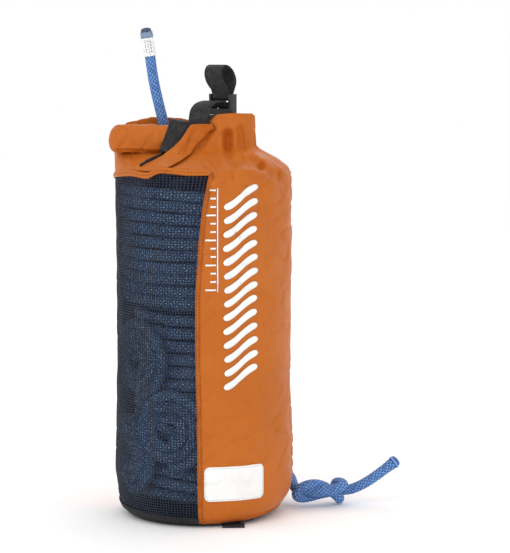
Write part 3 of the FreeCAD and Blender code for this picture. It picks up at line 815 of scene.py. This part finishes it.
def collar_point(az, t):
    """t runs from 0 at the wall's top to 1 at the mouth's rim"""
    a = math.radians(az)
    azm = az % 360
    w = float(np.interp(t, _tt, _W))
    mx, my = float(np.interp(azm, M_AZ, M_X)), float(np.interp(azm, M_AZ, M_Y))
    h = float(np.interp(azm, H_AZ, H_Z))
    z = float(np.interp(t, np.r_[S_T], np.r_[S_Z, h]))
    r = radius(316.0)
    x = r * math.cos(a) * (1 - w) + mx * w
    y = r * math.sin(a) * (1 - w) + my * w
    return x, y, z


def shell_point(az, v):
    """v from 0 at the foot to 1 at the wall's top, then to 2 at the rim"""
    if v <= 1.0:
        z = 3.0 + (316.0 - 3.0) * v
        zz = z
        if in_window(az):
            k = max(0.0, 1.0 - (316.0 - z) / 26.0)
            zz = z + (top_curve(az) - 316.0) * k
        r = radius(min(z, 316.0)) + 0.7 + disp_wall(az, zz) - tuck(az, zz)
        a = math.radians(lean(az, zz))
        return r * math.cos(a), r * math.sin(a), zz
    t = v - 1.0
    x, y, z = collar_point(az + (lean(az, 318.0) - az) * max(0.0, 1.0 - t / 0.45), t)
    if in_window(az):
        z += (top_curve(az) - 316.0) * max(0.0, 1.0 - t / 0.35)
    a = math.radians(az)
    env = math.sin(min(1.0, t * 1.15) * math.pi) ** 0.7 if t < 0.87 else 0.35
    fold = nz(az * 0.075, t * 1.3, 5.0) * 2.6 + nz(az * 0.16, t * 2.2, 15.0) * 1.5
    sharp = -1.7 * max(0.0, 1.0 - abs(nz(az * 0.05, t * 0.9, 33.0)) / 0.12)
    d0 = disp_wall(az, 316.0) * max(0.0, 1 - t * 3)
    d = d0 + (fold + sharp) * env * (0.6 if t < 0.5 else 1.0) * min(1.0, t * 6)
    cx = -18.0 * min(1.0, t * 1.3)
    ux, uy = x - cx, y
    l = math.hypot(ux, uy) or 1.0
    return x + ux / l * d, y + uy / l * d, z + d * 0.25


AZ = np.r_[np.linspace(SEAM_F, SEAM_R, 177), np.linspace(164.0, 266.0, 69)[1:]]
AZ = AZ[:-1] if abs((AZ[-1] - AZ[0]) - 360.0) < 1e-6 else AZ
NV1, NV2 = 150, 52
VV = np.r_[np.linspace(0, 1, NV1), 1.0 + np.linspace(0, 1, NV2)[1:]]
nA, nV = len(AZ), len(VV)
G = np.zeros((nV, nA, 3))
for i, v in enumerate(VV):
    for j, az in enumerate(AZ):
        G[i, j] = shell_point(az, v)
# creases on the front
for i in range(nV):
    for j in range(nA):
        if G[i, j, 1] < 0 and G[i, j, 2] > 285:
            c = crease_depth(G[i, j, 0], G[i, j, 2])
            if abs(c) > 0.02:
                G[i, j, 1] += c
                G[i, j, 2] -= 0.3 * c
# texture coordinates: u is the length round row 90, v the height up the wall and on over the collar, in metres
uv = np.zeros((nV, nA, 2))
arc = np.cumsum(np.r_[0, np.full(nA - 1, 1.0)])
for i in range(nV):
    row = G[i]
    L = np.r_[0, np.cumsum(np.linalg.norm(np.diff(G[90], axis=0), axis=1))]
    uv[i, :, 0] = L * MM
    uv[i, :, 1] = (3.0 + 313.0 * min(VV[i], 1.0) + 62.0 * max(0.0, VV[i] - 1.0)) * MM
verts = G.reshape(-1, 3)
faces = []
for i in range(nV - 1):
    for j in range(nA):
        j2 = (j + 1) % nA
        mid = (AZ[j] + (AZ[j2] if j2 else 266.0)) / 2
        window = 164.0 < mid % 360 < 266.0
        if window and VV[i + 1] <= 1.0 + 1e-9:
            continue
        faces.append((i * nA + j, i * nA + j2, (i + 1) * nA + j2, (i + 1) * nA + j))
used = sorted({q for f in faces for q in f})
remap = {q: k for k, q in enumerate(used)}
# separate vertices where the pattern's coordinate wraps are not needed: the wrap lies in the window's collar
shell = make_mesh("body_shell", verts[used], [tuple(remap[q] for q in f) for f in faces], M_ORANGE, uv.reshape(-1, 2)[used])
SHELL_BVH = BVHTree.FromPolygons([Vector(v) for v in verts[used]], [tuple(remap[q] for q in f) for f in faces])
shell = solidify(shell, 0.9, -1.0)
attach(shell, "bag")
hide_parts("body_panel", "collar_band", "collar_front_lip", "collar_fold_right", "collar_back_flap")


def wall_pos(az, z, lift=0.0, window=None):
    a = math.radians(lean(az, z))
    d = disp_wall(az, z)
    if window is False and in_window(az):
        d = disp_wall(SEAM_F + 0.3 if abs((az % 360) - 266) < 20 else 163.7, z)
    r = radius(min(z, 316.0)) + 0.7 + d + lift - tuck(az, z)
    return (r * math.cos(a), r * math.sin(a), z)


def patch(name, rows, mat, thick=0.0, closed_u=False):
    """grid of points (rows of equal length) as one cloth piece; uv follows its real lengths"""
    A = np.array(rows, float)
    m, n, _ = A.shape
    du = np.r_[0, np.cumsum(np.linalg.norm(np.diff(A[m // 2], axis=0), axis=1))]
    dv = np.r_[0, np.cumsum(np.linalg.norm(np.diff(A[:, n // 2], axis=0), axis=1))]
    UV = np.stack(np.meshgrid(du * MM, dv * MM), -1).reshape(-1, 2)
    F = []
    for i in range(m - 1):
        for j in range(n if closed_u else n - 1):
            j2 = (j + 1) % n
            F.append((i * n + j, i * n + j2, (i + 1) * n + j2, (i + 1) * n + j))
    ob = make_mesh(name, A.reshape(-1, 3), F, mat, UV)
    if thick:
        ob = solidify(ob, thick, -1.0)
    return ob


# ------------------------------------------------------------------ see-through net
def build_net():
    """square-holed warp-knit net: four yarn bars round every hole"""
    p, h = 2.5, 2.32
    s0, s1 = math.radians(163.6) * 81.0, math.radians(266.6) * 81.0
    nx = int((s1 - s0) / p)
    key, V, F = {}, [], []

    def vert(c, r):
        q = (c, r)
        if q not in key:
            s = s0 + c * (s1 - s0) / nx + 0.20 * nz(c * 0.5, r * 0.5, 1.0)
            z = 7.0 + r * h + 0.20 * nz(c * 0.5, r * 0.5, 8.0)
            az = math.degrees(s / 81.0)
            rr = radius(min(z, 316)) - 0.25 + disp_wall(az, z)
            aa = math.radians(lean(az, z))
            key[q] = len(V)
            V.append((rr * math.cos(aa), rr * math.sin(aa), z))
        return key[q]

    for r in range(int(318 / h)):
        for c in range(nx):
            az = math.degrees((s0 + (c + 0.5) * p) / 81.0)
            if 7.0 + (r + 1) * h > top_curve(az) + 3.0:
                continue
            o = [vert(c, r), vert(c + 1, r), vert(c + 1, r + 1), vert(c, r + 1)]
            P = np.array([V[q] for q in o])
            cen = P.mean(axis=0)
            f = 0.66 + 0.09 * nz(c * 0.8, r * 0.8, 4.0)
            base = len(V)
            for q in range(4):
                V.append(tuple(cen + (P[q] - cen) * f))
            for q in range(4):
                q2 = (q + 1) % 4
                F.append((o[q], o[q2], base + q2, base + q))
    ob = make_mesh("mesh_net", V, F, M_NET, [(math.atan2(v[1], v[0]) * 81 * MM, v[2] * MM) for v in V])
    return solidify(ob, 0.5, -1.0)


net = build_net()
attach(net, "bag")
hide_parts("mesh_panel")

# ------------------------------------------------------------------ base cup and hems
BP = [(0.01, 0.0), (14, 0.0), (28, 0.0), (42, 0.0), (54, 0.0), (62, 0.0), (66.2, 0.25), (69.0, 1.0), (71.4, 2.2), (73.8, 4.4),
      (75.7, 6.8), (77.0, 9.4), (78.0, 12.0), (78.7, 14.6)]


def foot_top(az):
    """height of the black foot below the net, taller toward the side"""
    return 14.0 - 5.0 * max(0.0, min(1.0, (az - 175.0) / 90.0))


rows = []
for r, z in BP:
    row = []
    for k in range(180):
        a = 2 * math.pi * k / 180
        d = 0.5 * nz(math.cos(a) * 3, math.sin(a) * 3, z * 0.1) * min(1.0, z / 6.0)
        deg = math.degrees(a) % 360
        zz = z
        if 160.0 < deg < 270.0:
            zz = z if z <= 4.4 else 4.4 + (z - 4.4) * (foot_top(deg) - 5.4) / 10.2
            d -= 0.4
        elif z > 3.0:
            d -= 2.4
        d -= tuck(deg, z) * min(1.0, r / 76.0)
        row.append(((r + d) * math.cos(a), (r + d) * math.sin(a), zz))
    rows.append(row)
base = patch("base_cup", rows, M_BASE, 1.2, True)
recalc(base)
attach(base, "bag"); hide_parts("base_panel")


def band(name, az0, az1, z_lo, z_hi, mat, lift=0.9, nz_=7, step=1.5, thick=0.7, window=None, wave=0.0):
    n = max(3, int(abs(az1 - az0) / step))
    rows = []
    for i in range(nz_):
        q = i / (nz_ - 1)
        row = []
        for j in range(n + 1):
            az = az0 + (az1 - az0) * j / n
            lo = z_lo(az) if callable(z_lo) else z_lo
            hi = z_hi(az) if callable(z_hi) else z_hi
            z = lo + (hi - lo) * q + wave * nz(az * 0.12, q, 2.0)
            l = lift * (1 - (2 * q - 1) ** 4) + 0.15 * nz(az * 0.5, q * 3, 6.0)
            row.append(wall_pos(az, z, l, window))
        rows.append(row)
    return patch(name, rows, mat, thick)


def upright(name, az, z0, z1, width, mat, lift=0.9, thick=0.8, step=2.5, wander=0.0):
    n = int((z1 - z0) / step)
    rows = []
    for i in range(n + 1):
        z = z0 + (z1 - z0) * i / n
        w = math.degrees(width / 2 / 81.0) * (1 + 0.10 * nz(z * 0.05, 1.0, 2.0))
        c = az + wander * nz(z * 0.012, 5.0, 2.0)
        row = []
        for j in range(9):
            q = j / 8.0 * 2 - 1
            l = lift * (1 - q ** 4) + 0.12 * nz(z * 0.25, q, 3.0)
            row.append(wall_pos(c + w * q, z, l, False))
        rows.append(row)
    return patch(name, rows, mat, thick)


bf = upright("front_binding", SEAM_F, 4.0, top_curve(266) - 1, 4.4, M_BIND, wander=0.35)
br = upright("rear_binding", 164.0, 4.0, top_curve(164) - 1, 4.4, M_BIND, wander=0.35)
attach(bf, "bag"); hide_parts("mesh_seam_binding_front")
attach(br, "bag"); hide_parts("mesh_seam_binding_rear")
hem = band("base_hem", SEAM_F + 1.2, SEAM_R - 1.2, lambda a: 3.6, lambda a: 9.2, M_BIND, lift=0.8)
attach(hem, "bag"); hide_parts("base_binding")
low = band("net_foot_tape", 165.2, 264.8, lambda a: foot_top(a) - 5.5, foot_top, M_BASE, lift=0.3)
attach(low, "bag")
top = band("net_top_hem", 165.2, 265.2, lambda a: top_curve(a) - 1.4, lambda a: top_curve(a) + 4.2, M_ORANGE, lift=0.7, thick=0.6)
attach(top, "bag"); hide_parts("mesh_top_seam")

for nm, az0, zlist in (("stitch_front", SEAM_F, None),):
    zs = np.linspace(8, 312, 200)
    for k, off in enumerate((-0.95, 0.95)):
        line = [wall_pos(az0 + off, z, 0.85, False) for z in zs]
        s = stitches("%s_%d" % (nm, k), line, [(p[0], p[1], 0) for p in line], M_THREAD, 2.3, 0.9)
        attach(s, "bag")
zs = np.linspace(8, 300, 200)
line = [wall_pos(164.0, z, 0.9, False) for z in zs]
s = stitches("stitch_rear", line, [(p[0], p[1], 0) for p in line], M_THREAD, 2.3, 0.9)
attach(s, "bag")
line = [wall_pos(a, top_curve(a) + 1.6, 0.75) for a in np.linspace(166, 264.5, 200)]
s = stitches("stitch_net_top", line, [(p[0], p[1], 0) for p in line], M_THREAD, 2.3, 0.9)
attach(s, "bag")
line = [wall_pos(a, 6.4, 0.8) for a in np.linspace(SEAM_F + 2, SEAM_R - 2, 500)]
s = stitches("stitch_base", line, [(p[0], p[1], 0) for p in line], M_THREAD, 2.6, 1.0)
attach(s, "bag")

# ------------------------------------------------------------------ write-on label and printed motif
def on_front(x, z, lift):
    """point of the bag's front at that x and height"""
    hit = SHELL_BVH.ray_cast(Vector((x, -200.0, z)), Vector((0, 1, 0)))
    n = hit[1] if hit[1].y < 0 else -hit[1]
    p = hit[0] + n * lift
    return (p.x, p.y, p.z)


def rounded_rect(w, h, r, n=10):
    out = []
    for cx, cy, a0 in ((w / 2 - r, h / 2 - r, 0), (-w / 2 + r, h / 2 - r, 90), (-w / 2 + r, -h / 2 + r, 180), (w / 2 - r, -h / 2 + r, 270)):
        for k in range(n + 1):
            a = math.radians(a0 + 90.0 * k / n)
            out.append((cx + r * math.cos(a), cy + r * math.sin(a)))
    return out


AZ_L, Z_L = -68.2, 41.0


def label_pos(s, t, lift):
    az = math.radians(AZ_L + math.degrees(s / 81.0))
    return on_front(81.9 * math.cos(az), Z_L + t, lift)


outline = rounded_rect(57.5, 31.5, 5.0)
dense = []
for (x0, y0), (x1, y1) in zip(outline, outline[1:] + outline[:1]):
    m = max(1, int(math.hypot(x1 - x0, y1 - y0) / 2.0))
    for k in range(m):
        dense.append((x0 + (x1 - x0) * k / m, y0 + (y1 - y0) * k / m))
rings = [1.0, 0.985, 0.95, 0.9, 0.8, 0.7, 0.6, 0.5, 0.4, 0.3, 0.2, 0.1]
V, F, UV = [], [], []
for i, f in enumerate(rings):
    for s_, t_ in dense:
        lift = 0.30 + (0.35 if i > 0 else 0.0)
        V.append(label_pos(s_ * f, t_ * f, lift)); UV.append((s_ * f * MM, t_ * f * MM))
m = len(dense)
for i in range(len(rings) - 1):
    for k in range(m):
        F.append((i * m + k, i * m + (k + 1) % m, (i + 1) * m + (k + 1) % m, (i + 1) * m + k))
V.append(label_pos(0, 0, 0.65)); UV.append((0, 0))
for k in range(m):
    F.append(((len(rings) - 1) * m + k, (len(rings) - 1) * m + (k + 1) % m, len(V) - 1))
label = solidify(make_mesh("write_on_label", V, F, M_LABEL, UV), 0.3, -1.0)
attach(label, "bag"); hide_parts("label_patch")
edge = rounded_rect(54.6, 28.6, 4.0)
edge = edge + edge[:1]
pe, _ = even(np.array([(x, y, 0) for x, y in edge]), 1.0)
line = [label_pos(x, y, 0.72) for x, y, _ in pe]
s = stitches("stitch_label", line, [(p[0], p[1], 0) for p in line], M_THREAD_GREY, 2.0, 0.9, 0.2, 0.0)
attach(s, "bag")


def decal(name, shapes, lift=0.50):
    """printed marks lying on the cloth: each shape is a grid of (x, z)"""
    V, F, UV = [], [], []
    for g in shapes:
        m, n = len(g), len(g[0])
        b0 = len(V)
        for row in g:
            for x, z in row:
                V.append(on_front(x, z, lift)); UV.append((x * MM, z * MM))
        for i in range(m - 1):
            for j in range(n - 1):
                F.append((b0 + i * n + j, b0 + i * n + j + 1, b0 + (i + 1) * n + j + 1, b0 + (i + 1) * n + j))
    ob = make_mesh(name, V, F, M_PRINT, UV)
    return solidify(ob, 0.08, -1.0)


def strand_mark(cx, cz, w, h, tilt, fat):
    """one strand of a laid rope: a slanted, s-shaped stroke"""
    g = []
    for i in range(31):
        q = i / 30.0 * 2 - 1
        x = cx + q * w / 2
        zc = cz + tilt * math.sin(q * math.pi / 2) * h / 2
        hw = fat / 2 * (max(0.0, 1 - q ** 6)) ** 0.5
        hw = max(hw, 0.15)
        g.append([(x, zc - hw), (x, zc - hw / 3), (x, zc + hw / 3), (x, zc + hw)])
    return g


shapes = []
for k in range(14):
    shapes.append(strand_mark(34.5 + 0.5 * math.sin(k * 1.1), 137.0 + k * 12.4, 30.0, 17.0, 1.0, 7.0))
motif = decal("print_rope_motif", shapes)
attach(motif, "bag")
ticks = []
for k in range(13):
    z = 216.0 + k * 7.4
    w = 9.5 if k % 3 == 0 else 5.0
    x1 = 13.0
    ticks.append([[(x1 - w * q, z - 0.8), (x1 - w * q, z), (x1 - w * q, z + 0.8)] for q in np.linspace(0, 1, 6)])
ticks.append([[(13.9, 214.0 + 92.5 * q), (14.4, 214.0 + 92.5 * q), (14.9, 214.0 + 92.5 * q)] for q in np.linspace(0, 1, 40)])
scale_marks = decal("print_level_scale", ticks)
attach(scale_marks, "bag")

# ------------------------------------------------------------------ rolled mouth
def build_roll():
    """the mouth folded forward on itself: a soft, flattened sausage that narrows under the strap"""
    nx, nt = 84, 56
    V, F, UV = [], [], []
    for i in range(nx + 1):
        q = i / nx
        x = -85.6 + 90.0 * q
        e = min(1.0, (x + 85.6) / 9.0)
        k = math.sqrt(max(0.0, 1 - (1 - e) ** 2)) if e < 1 else 1.0
        k = max(k, 0.10)
        mid = 1.0 - 0.30 * max(0.0, (x + 46.0) / 50.0)
        hz = (13.0 + 0.7 * math.sin(x * 0.11)) * k * (1.0 - 0.10 * max(0.0, (x + 50) / 54.0))
        hy = 11.5 * k * mid
        zc = 347.0 + 0.6 * math.sin(x * 0.07) - 1.5 * (1 - e)
        yc = -15.5 + 5.0 * max(0.0, (x + 50.0) / 54.0) ** 1.2
        for j in range(nt):
            a = 2 * math.pi * j / nt
            c, s_ = math.cos(a), math.sin(a)
            ex = 2.6
            cc = math.copysign(abs(c) ** (2 / ex), c)
            ss = math.copysign(abs(s_) ** (2 / ex), s_)
            y, z = yc + hy * cc, zc + hz * ss
            d = 0.9 * nz(x * 0.05, c * 1.2 + 3, s_ * 1.2) + 0.6 * nz(x * 0.14, c * 2.0, s_ * 2.0 + 7)
            d -= 0.9 * k * max(0.0, 1 - abs(nz(x * 0.06 + c, s_ * 0.8, 2.2)) / 0.12)
            # the fold's free edge shows as a shallow lip along the lower front
            ph = (math.degrees(a) - 215.0)
            d += 1.1 * k * math.exp(-(ph / 9.0) ** 2) - 1.5 * k * math.exp(-((ph - 20.0) / 8.0) ** 2)
            V.append((x, y + d * cc, min(z + d * ss, 361.5)))
            UV.append((x * MM, a * 12 * MM))
        if i:
            for j in range(nt):
                j2 = (j + 1) % nt
                F.append(((i - 1) * nt + j, (i - 1) * nt + j2, i * nt + j2, i * nt + j))
    F.append(tuple(range(nt - 1, -1, -1)))
    F.append(tuple(nx * nt + j for j in range(nt)))
    return recalc(make_mesh("rolled_mouth", V, F, M_ORANGE, UV))


roll = build_roll()
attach(roll, "bag"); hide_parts("rolled_collar", "mouth_stiffener")
ROLL_BVH = BVHTree.FromPolygons([v.co / MM for v in roll.data.vertices], [tuple(p.vertices) for p in roll.data.polygons])


def front_y(x, z, trees=None, default=-22.0):
    best = None
    for t in (trees or (SHELL_BVH, ROLL_BVH)):
        hit = t.ray_cast(Vector((x, -200.0, z)), Vector((0, 1, 0)))
        if hit[0] is not None and hit[0].y < 40 and (best is None or hit[0].y < best):
            best = hit[0].y
    return default if best is None else best


# ------------------------------------------------------------------ straps
def smooth_path(pts, k=2):
    P = np.array(pts, float)
    for _ in range(k):
        Q = P.copy()
        Q[1:-1] = 0.25 * P[:-2] + 0.5 * P[1:-1] + 0.25 * P[2:]
        P = Q
    return P


def px2(x, y, depth):
    """x and z of a point seen in the layout's grid at that depth (y in the part's frame)"""
    k = 1 + depth / 2050.0
    X = 47.5 + (x - 255.2) * 0.91 * k
    Z = (519.0 - y) * 0.91 * k + depth * -0.108 + (1 - k) * -221.0
    return X, Z


def at(gx, gy, y):
    """x and z of a point of the layout's grid that lies at that y"""
    zz = 0.0
    for _ in range(4):
        f = 1.0 + (y * 0.994 - zz * 0.108) / 2050.0
        zz = ((276.5 - gy) * 0.9222 * f - y * 0.108) / 0.994
    f = 1.0 + (y * 0.994 - zz * 0.108) / 2050.0
    return 47.5 + (gx - 255.0) * 0.9222 * f, 219.5 + zz


def drape(gx, gy, trees, off, spread=4.0):
    y = -35.0
    for _ in range(4):
        x, z = at(gx, gy, y)
        z = min(z, 360.2)
        y = min(front_y(x + dx, min(z + dz, 359.5), trees) for dx, dz in ((0, 0), (spread, 0), (-spread, 0), (0, spread), (0, -spread)))
    return x, y - off, z


A0 = [(169.3, 152.4), (170.6, 149.4), (172.5, 146), (175.2, 139), (177.8, 131.5), (180.0, 124.5)]
path = [drape(gx, gy, (SHELL_BVH, ROLL_BVH), 1.4) for gx, gy in A0]
path = [tuple(p) for p in smooth_path(path, 2)]
path.append((path[-1][0] + 0.4, path[-1][1] + 1.6, 362.6))
path.append((path[-2][0] + 1.0, path[-2][1] + 7.5, 363.2))
P_ = np.array(path)
T_ = np.gradient(P_, axis=0)
wA = []
for k in range(len(P_)):
    t = T_[k] if k < len(P_) - 2 else T_[len(P_) - 4]
    wA.append((0.985, 0.05, -0.16))
strapA, CA_, WA_, NA_ = ribbon("strap_diagonal", path, wA, 19.0, 1.6, M_WEB)
foot = [drape(gx, gy, (SHELL_BVH, ROLL_BVH), 1.0, 2.0) for gx, gy in ((140.0, 166.6), (146, 163.6), (153, 160.0), (160, 156.0), (167, 152.5))]
strapF, _, _, _ = ribbon("strap_diagonal_foot", foot, [(0.45, 0.0, 0.89)] * 5, 6.0, 1.4, M_WEB)
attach(strapA, "bag"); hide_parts("closure_strap_front")
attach(strapF, "bag")

wU = np.array([0.766, -0.643, 0.0])
nU = np.array([0.643, 0.766, 0.0])


def bk(u, v, z):
    return (18 + u * wU[0] + v * nU[0], 2 + u * wU[1] + v * nU[1], z)


pB = [(-3.0, -23.0, 356.5), (-3.0, -24.2, 361.5), (-2.8, -24.2, 367.0), (-2.0, -22.4, 372.6), (0.4, -18.6, 377.2), (4.2, -14.2, 379.7),
      (8.5, -10.0, 380.7), bk(-0.4, -6.8, 380.4)]
wB = [(0.99, -0.1, 0.0), (0.98, -0.15, 0.0), (0.96, -0.25, 0.0), (0.93, -0.36, 0.0), (0.88, -0.47, 0.0), (0.83, -0.56, 0.0), (0.79, -0.61, 0.0)] + [tuple(wU)]
strapB, CB_, WB_, NB_ = ribbon("strap_over", pB, wB, 19.6, 1.5, M_WEB)
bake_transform(strapB)
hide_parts("closure_strap_top")
dr = [bk(-0.2, -6.7, 380.7), bk(0, -5.6, 378.9), bk(0, -4.3, 376.3), bk(0, -1.6, 375.3), bk(0, 1.6, 375.3), bk(0, 3.6, 376.2), bk(0, 4.0, 379.2)]
strapD, CD_, WD_, ND_ = ribbon("strap_through_bar", dr, [tuple(wU)] * 7, 19.4, 1.4, M_WEB)
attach(strapD, "buckle_male"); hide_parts("closure_strap_drop")

tl = [bk(0, 5.2, 379.6), bk(0, 5.6, 376.5), bk(0, 5.9, 371.0), bk(0.2, 6.3, 364.0), bk(0.3, 6.6, 356.0), bk(0.2, 6.3, 345.4)]
strapT, CT_, WT_, NT_ = ribbon("strap_free_end", tl, [tuple(wU)] * 6, 19.6, 1.4, M_WEB)
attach(strapT, "strap_tail"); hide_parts("closure_strap_tail")

an = [bk(0, -3.3, 338.6), bk(0, -3.3, 343.0), bk(0, -3.2, 347.0), bk(0, -2.0, 348.7), bk(0, 0, 348.9), bk(0, 2.0, 348.7), bk(0, 3.2, 347.0), bk(0, 3.3, 343.0), bk(0, 3.3, 338.6)]
strapN, _, _, _ = ribbon("buckle_anchor", an, [tuple(wU)] * 9, 19.4, 1.4, M_WEB)
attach(strapN, "bag"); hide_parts("buckle_anchor_strap")

lo = [(0.0, 381.85), (-2.05, 382.7), (-2.9, 384.75), (-2.85, 387.4), (-4.9, 392.0), (-7.9, 397.0), (-9.1, 402.2), (-8.2, 407.4), (-5.0, 411.6), (-0.6, 413.2),
      (4.2, 411.8), (7.9, 407.6), (9.1, 402.0), (8.0, 397.0), (4.9, 392.0), (2.85, 387.4), (2.9, 384.75), (2.05, 382.7)]
lp = [bk(-0.40 * max(0.0, z - 393.5) ** 0.9, v, z) for v, z in lo]
loop, CL_, WL_, NL_ = ribbon("haul_loop_tape", lp, [tuple(wU)] * len(lp), 20.0, 1.6, M_WEB, closed=True)
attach(loop, "haul_loop"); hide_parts("haul_loop")


def strap_stitches(name, C, W, N, i0, i1, half, body, side=1.0, mat=M_THREAD_BLACK, thick=0.9):
    """a sewn box with a cross, on one face of a strap"""
    a, b = C[i0], C[i1]
    w0, w1 = W[i0], W[i1]
    P = [a - w0 * half, a + w0 * half, b + w1 * half, b - w1 * half, a - w0 * half, b + w1 * half, b - w1 * half, a + w0 * half]
    n = N[(i0 + i1) // 2] * side
    P = [p + n * thick for p in P]
    dense, _ = even(np.array(P), 1.0)
    s = stitches(name, dense, [n] * len(dense), mat, 1.9, 0.8, 0.24, 0.0)
    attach(s, body)
    return s


strap_stitches("stitch_loop_foot", CL_, WL_, NL_, 10, 13, 7.6, "haul_loop", 1.0)

# ------------------------------------------------------------------ orange layer over the strap's lower right side
FL = [(135, 166.5), (141, 165), (150, 161.5), (162.5, 155), (172, 148), (180, 140.5), (185, 133.5), (188.3, 128), (191.5, 124.3), (197, 123.6), (204, 123.4), (211.5, 122.5)]
LO = [(136, 171.0), (148, 171.5), (158, 170.5), (169, 166.5), (181, 160), (190, 153.5), (196, 146), (202, 139.5), (207.5, 134), (214.0, 128.5)]


def resample(pts, n):
    P = np.array(pts, float)
    d = np.r_[0, np.cumsum(np.linalg.norm(np.diff(P, axis=0), axis=1))]
    q = np.linspace(0, d[-1], n)
    return np.stack([np.interp(q, d, P[:, 0]), np.interp(q, d, P[:, 1])], -1)


TOPE, LOWE = resample(FL, 64), resample(LO, 64)
STRAP_BVH = BVHTree.FromPolygons([v.co / MM for v in strapA.data.vertices], [tuple(p.vertices) for p in strapA.data.polygons])
OVER_BVH = BVHTree.FromPolygons([v.co / MM for v in strapB.data.vertices], [tuple(p.vertices) for p in strapB.data.polygons])
rows = []
for i in range(18):
    t = i / 17.0
    row = []
    for (gx0, gy0), (gx1, gy1) in zip(LOWE, TOPE):
        k = max(0.0, min(1.0, (gx0 - 160.0) / 22.0))
        off = (-0.9 + 2.1 * t ** 0.5) * (1 - k) + (0.45 + 0.7 * t ** 2) * k
        row.append(drape(gx0 + (gx1 - gx0) * t, gy0 + (gy1 - gy0) * t, (SHELL_BVH, ROLL_BVH, STRAP_BVH, OVER_BVH), off, 2.6))
    rows.append(row)
R_ = np.array(rows)
for _ in range(6):
    Y = R_[..., 1].copy()
    Y[1:-1, 1:-1] = (R_[1:-1, 1:-1, 1] * 2 + R_[:-2, 1:-1, 1] + R_[2:, 1:-1, 1] + R_[1:-1, :-2, 1] + R_[1:-1, 2:, 1]) / 6
    Y[-1, 1:-1] = (R_[-1, 1:-1, 1] * 2 + R_[-1, :-2, 1] + R_[-1, 2:, 1]) / 4
    R_[..., 1] = np.minimum(Y, R_[..., 1] + 0.35)
flap = patch("front_layer", R_, M_ORANGE, 0.8)
recalc(flap)
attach(flap, "bag")

# ------------------------------------------------------------------ hard parts keep their CAD shape
for node in ("buckle_female", "buckle_male", "buckle_prong_left", "buckle_prong_right"):
    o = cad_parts[node]
    o.data.materials.clear()
    o.data.materials.append(M_PLASTIC)
for node in ("rope_grommet_outer", "rope_grommet_inner"):
    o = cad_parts[node]
    o.data.materials.clear()
    o.data.materials.append(M_EYELET)
tabp = [(28.0, -60.0, 1.0), (28.0, -66.0, 0.9), (28.1, -71.0, 0.85), (28.2, -74.8, 0.85)]
tab, _, _, _ = ribbon("base_tab_tape", tabp, [(1, 0, 0)] * 4, 20.0, 1.4, M_WEB)
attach(tab, "bag"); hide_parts("base_tab")

# ------------------------------------------------------------------ floor and light
def plane(name, pts, mat):
    ob = make_mesh(name, pts, [(0, 1, 2, 3)], mat, None, False)
    return ob


m_floor, nt_f, b_f = new_mat("pale_floor", (1.0, 1.0, 1.0), 1.0)
b_f.inputs["Specular IOR Level"].default_value = 0.0
plane("floor", [(-4000, -4000, -0.05), (4000, -4000, -0.05), (4000, 6000, -0.05), (-4000, 6000, -0.05)], m_floor)
world = bpy.data.worlds.new("studio")
scene.world = world
world.use_nodes = True
world.node_tree.nodes["Background"].inputs["Color"].default_value = (1, 1, 1, 1)
world.node_tree.nodes["Background"].inputs["Strength"].default_value = 1.0


def area(name, loc, target, size, power):
    l = bpy.data.lights.new(name, "AREA")
    l.shape = "DISK"
    l.size = size
    l.energy = power
    o = bpy.data.objects.new(name, l)
    scene.collection.objects.link(o)
    o.location = Vector(loc)
    o.rotation_euler = (Vector(target) - Vector(loc)).to_track_quat("-Z", "Y").to_euler()
    return o


area("key", (-1.3, -1.9, 1.7), (0, 0, 0.2), 1.3, 12.0)
area("fill", (1.6, -1.6, 0.9), (0, 0, 0.2), 1.6, 3.0)
area("back", (0.3, 1.8, 1.6), (0, 0, 0.2), 1.4, 6.0)
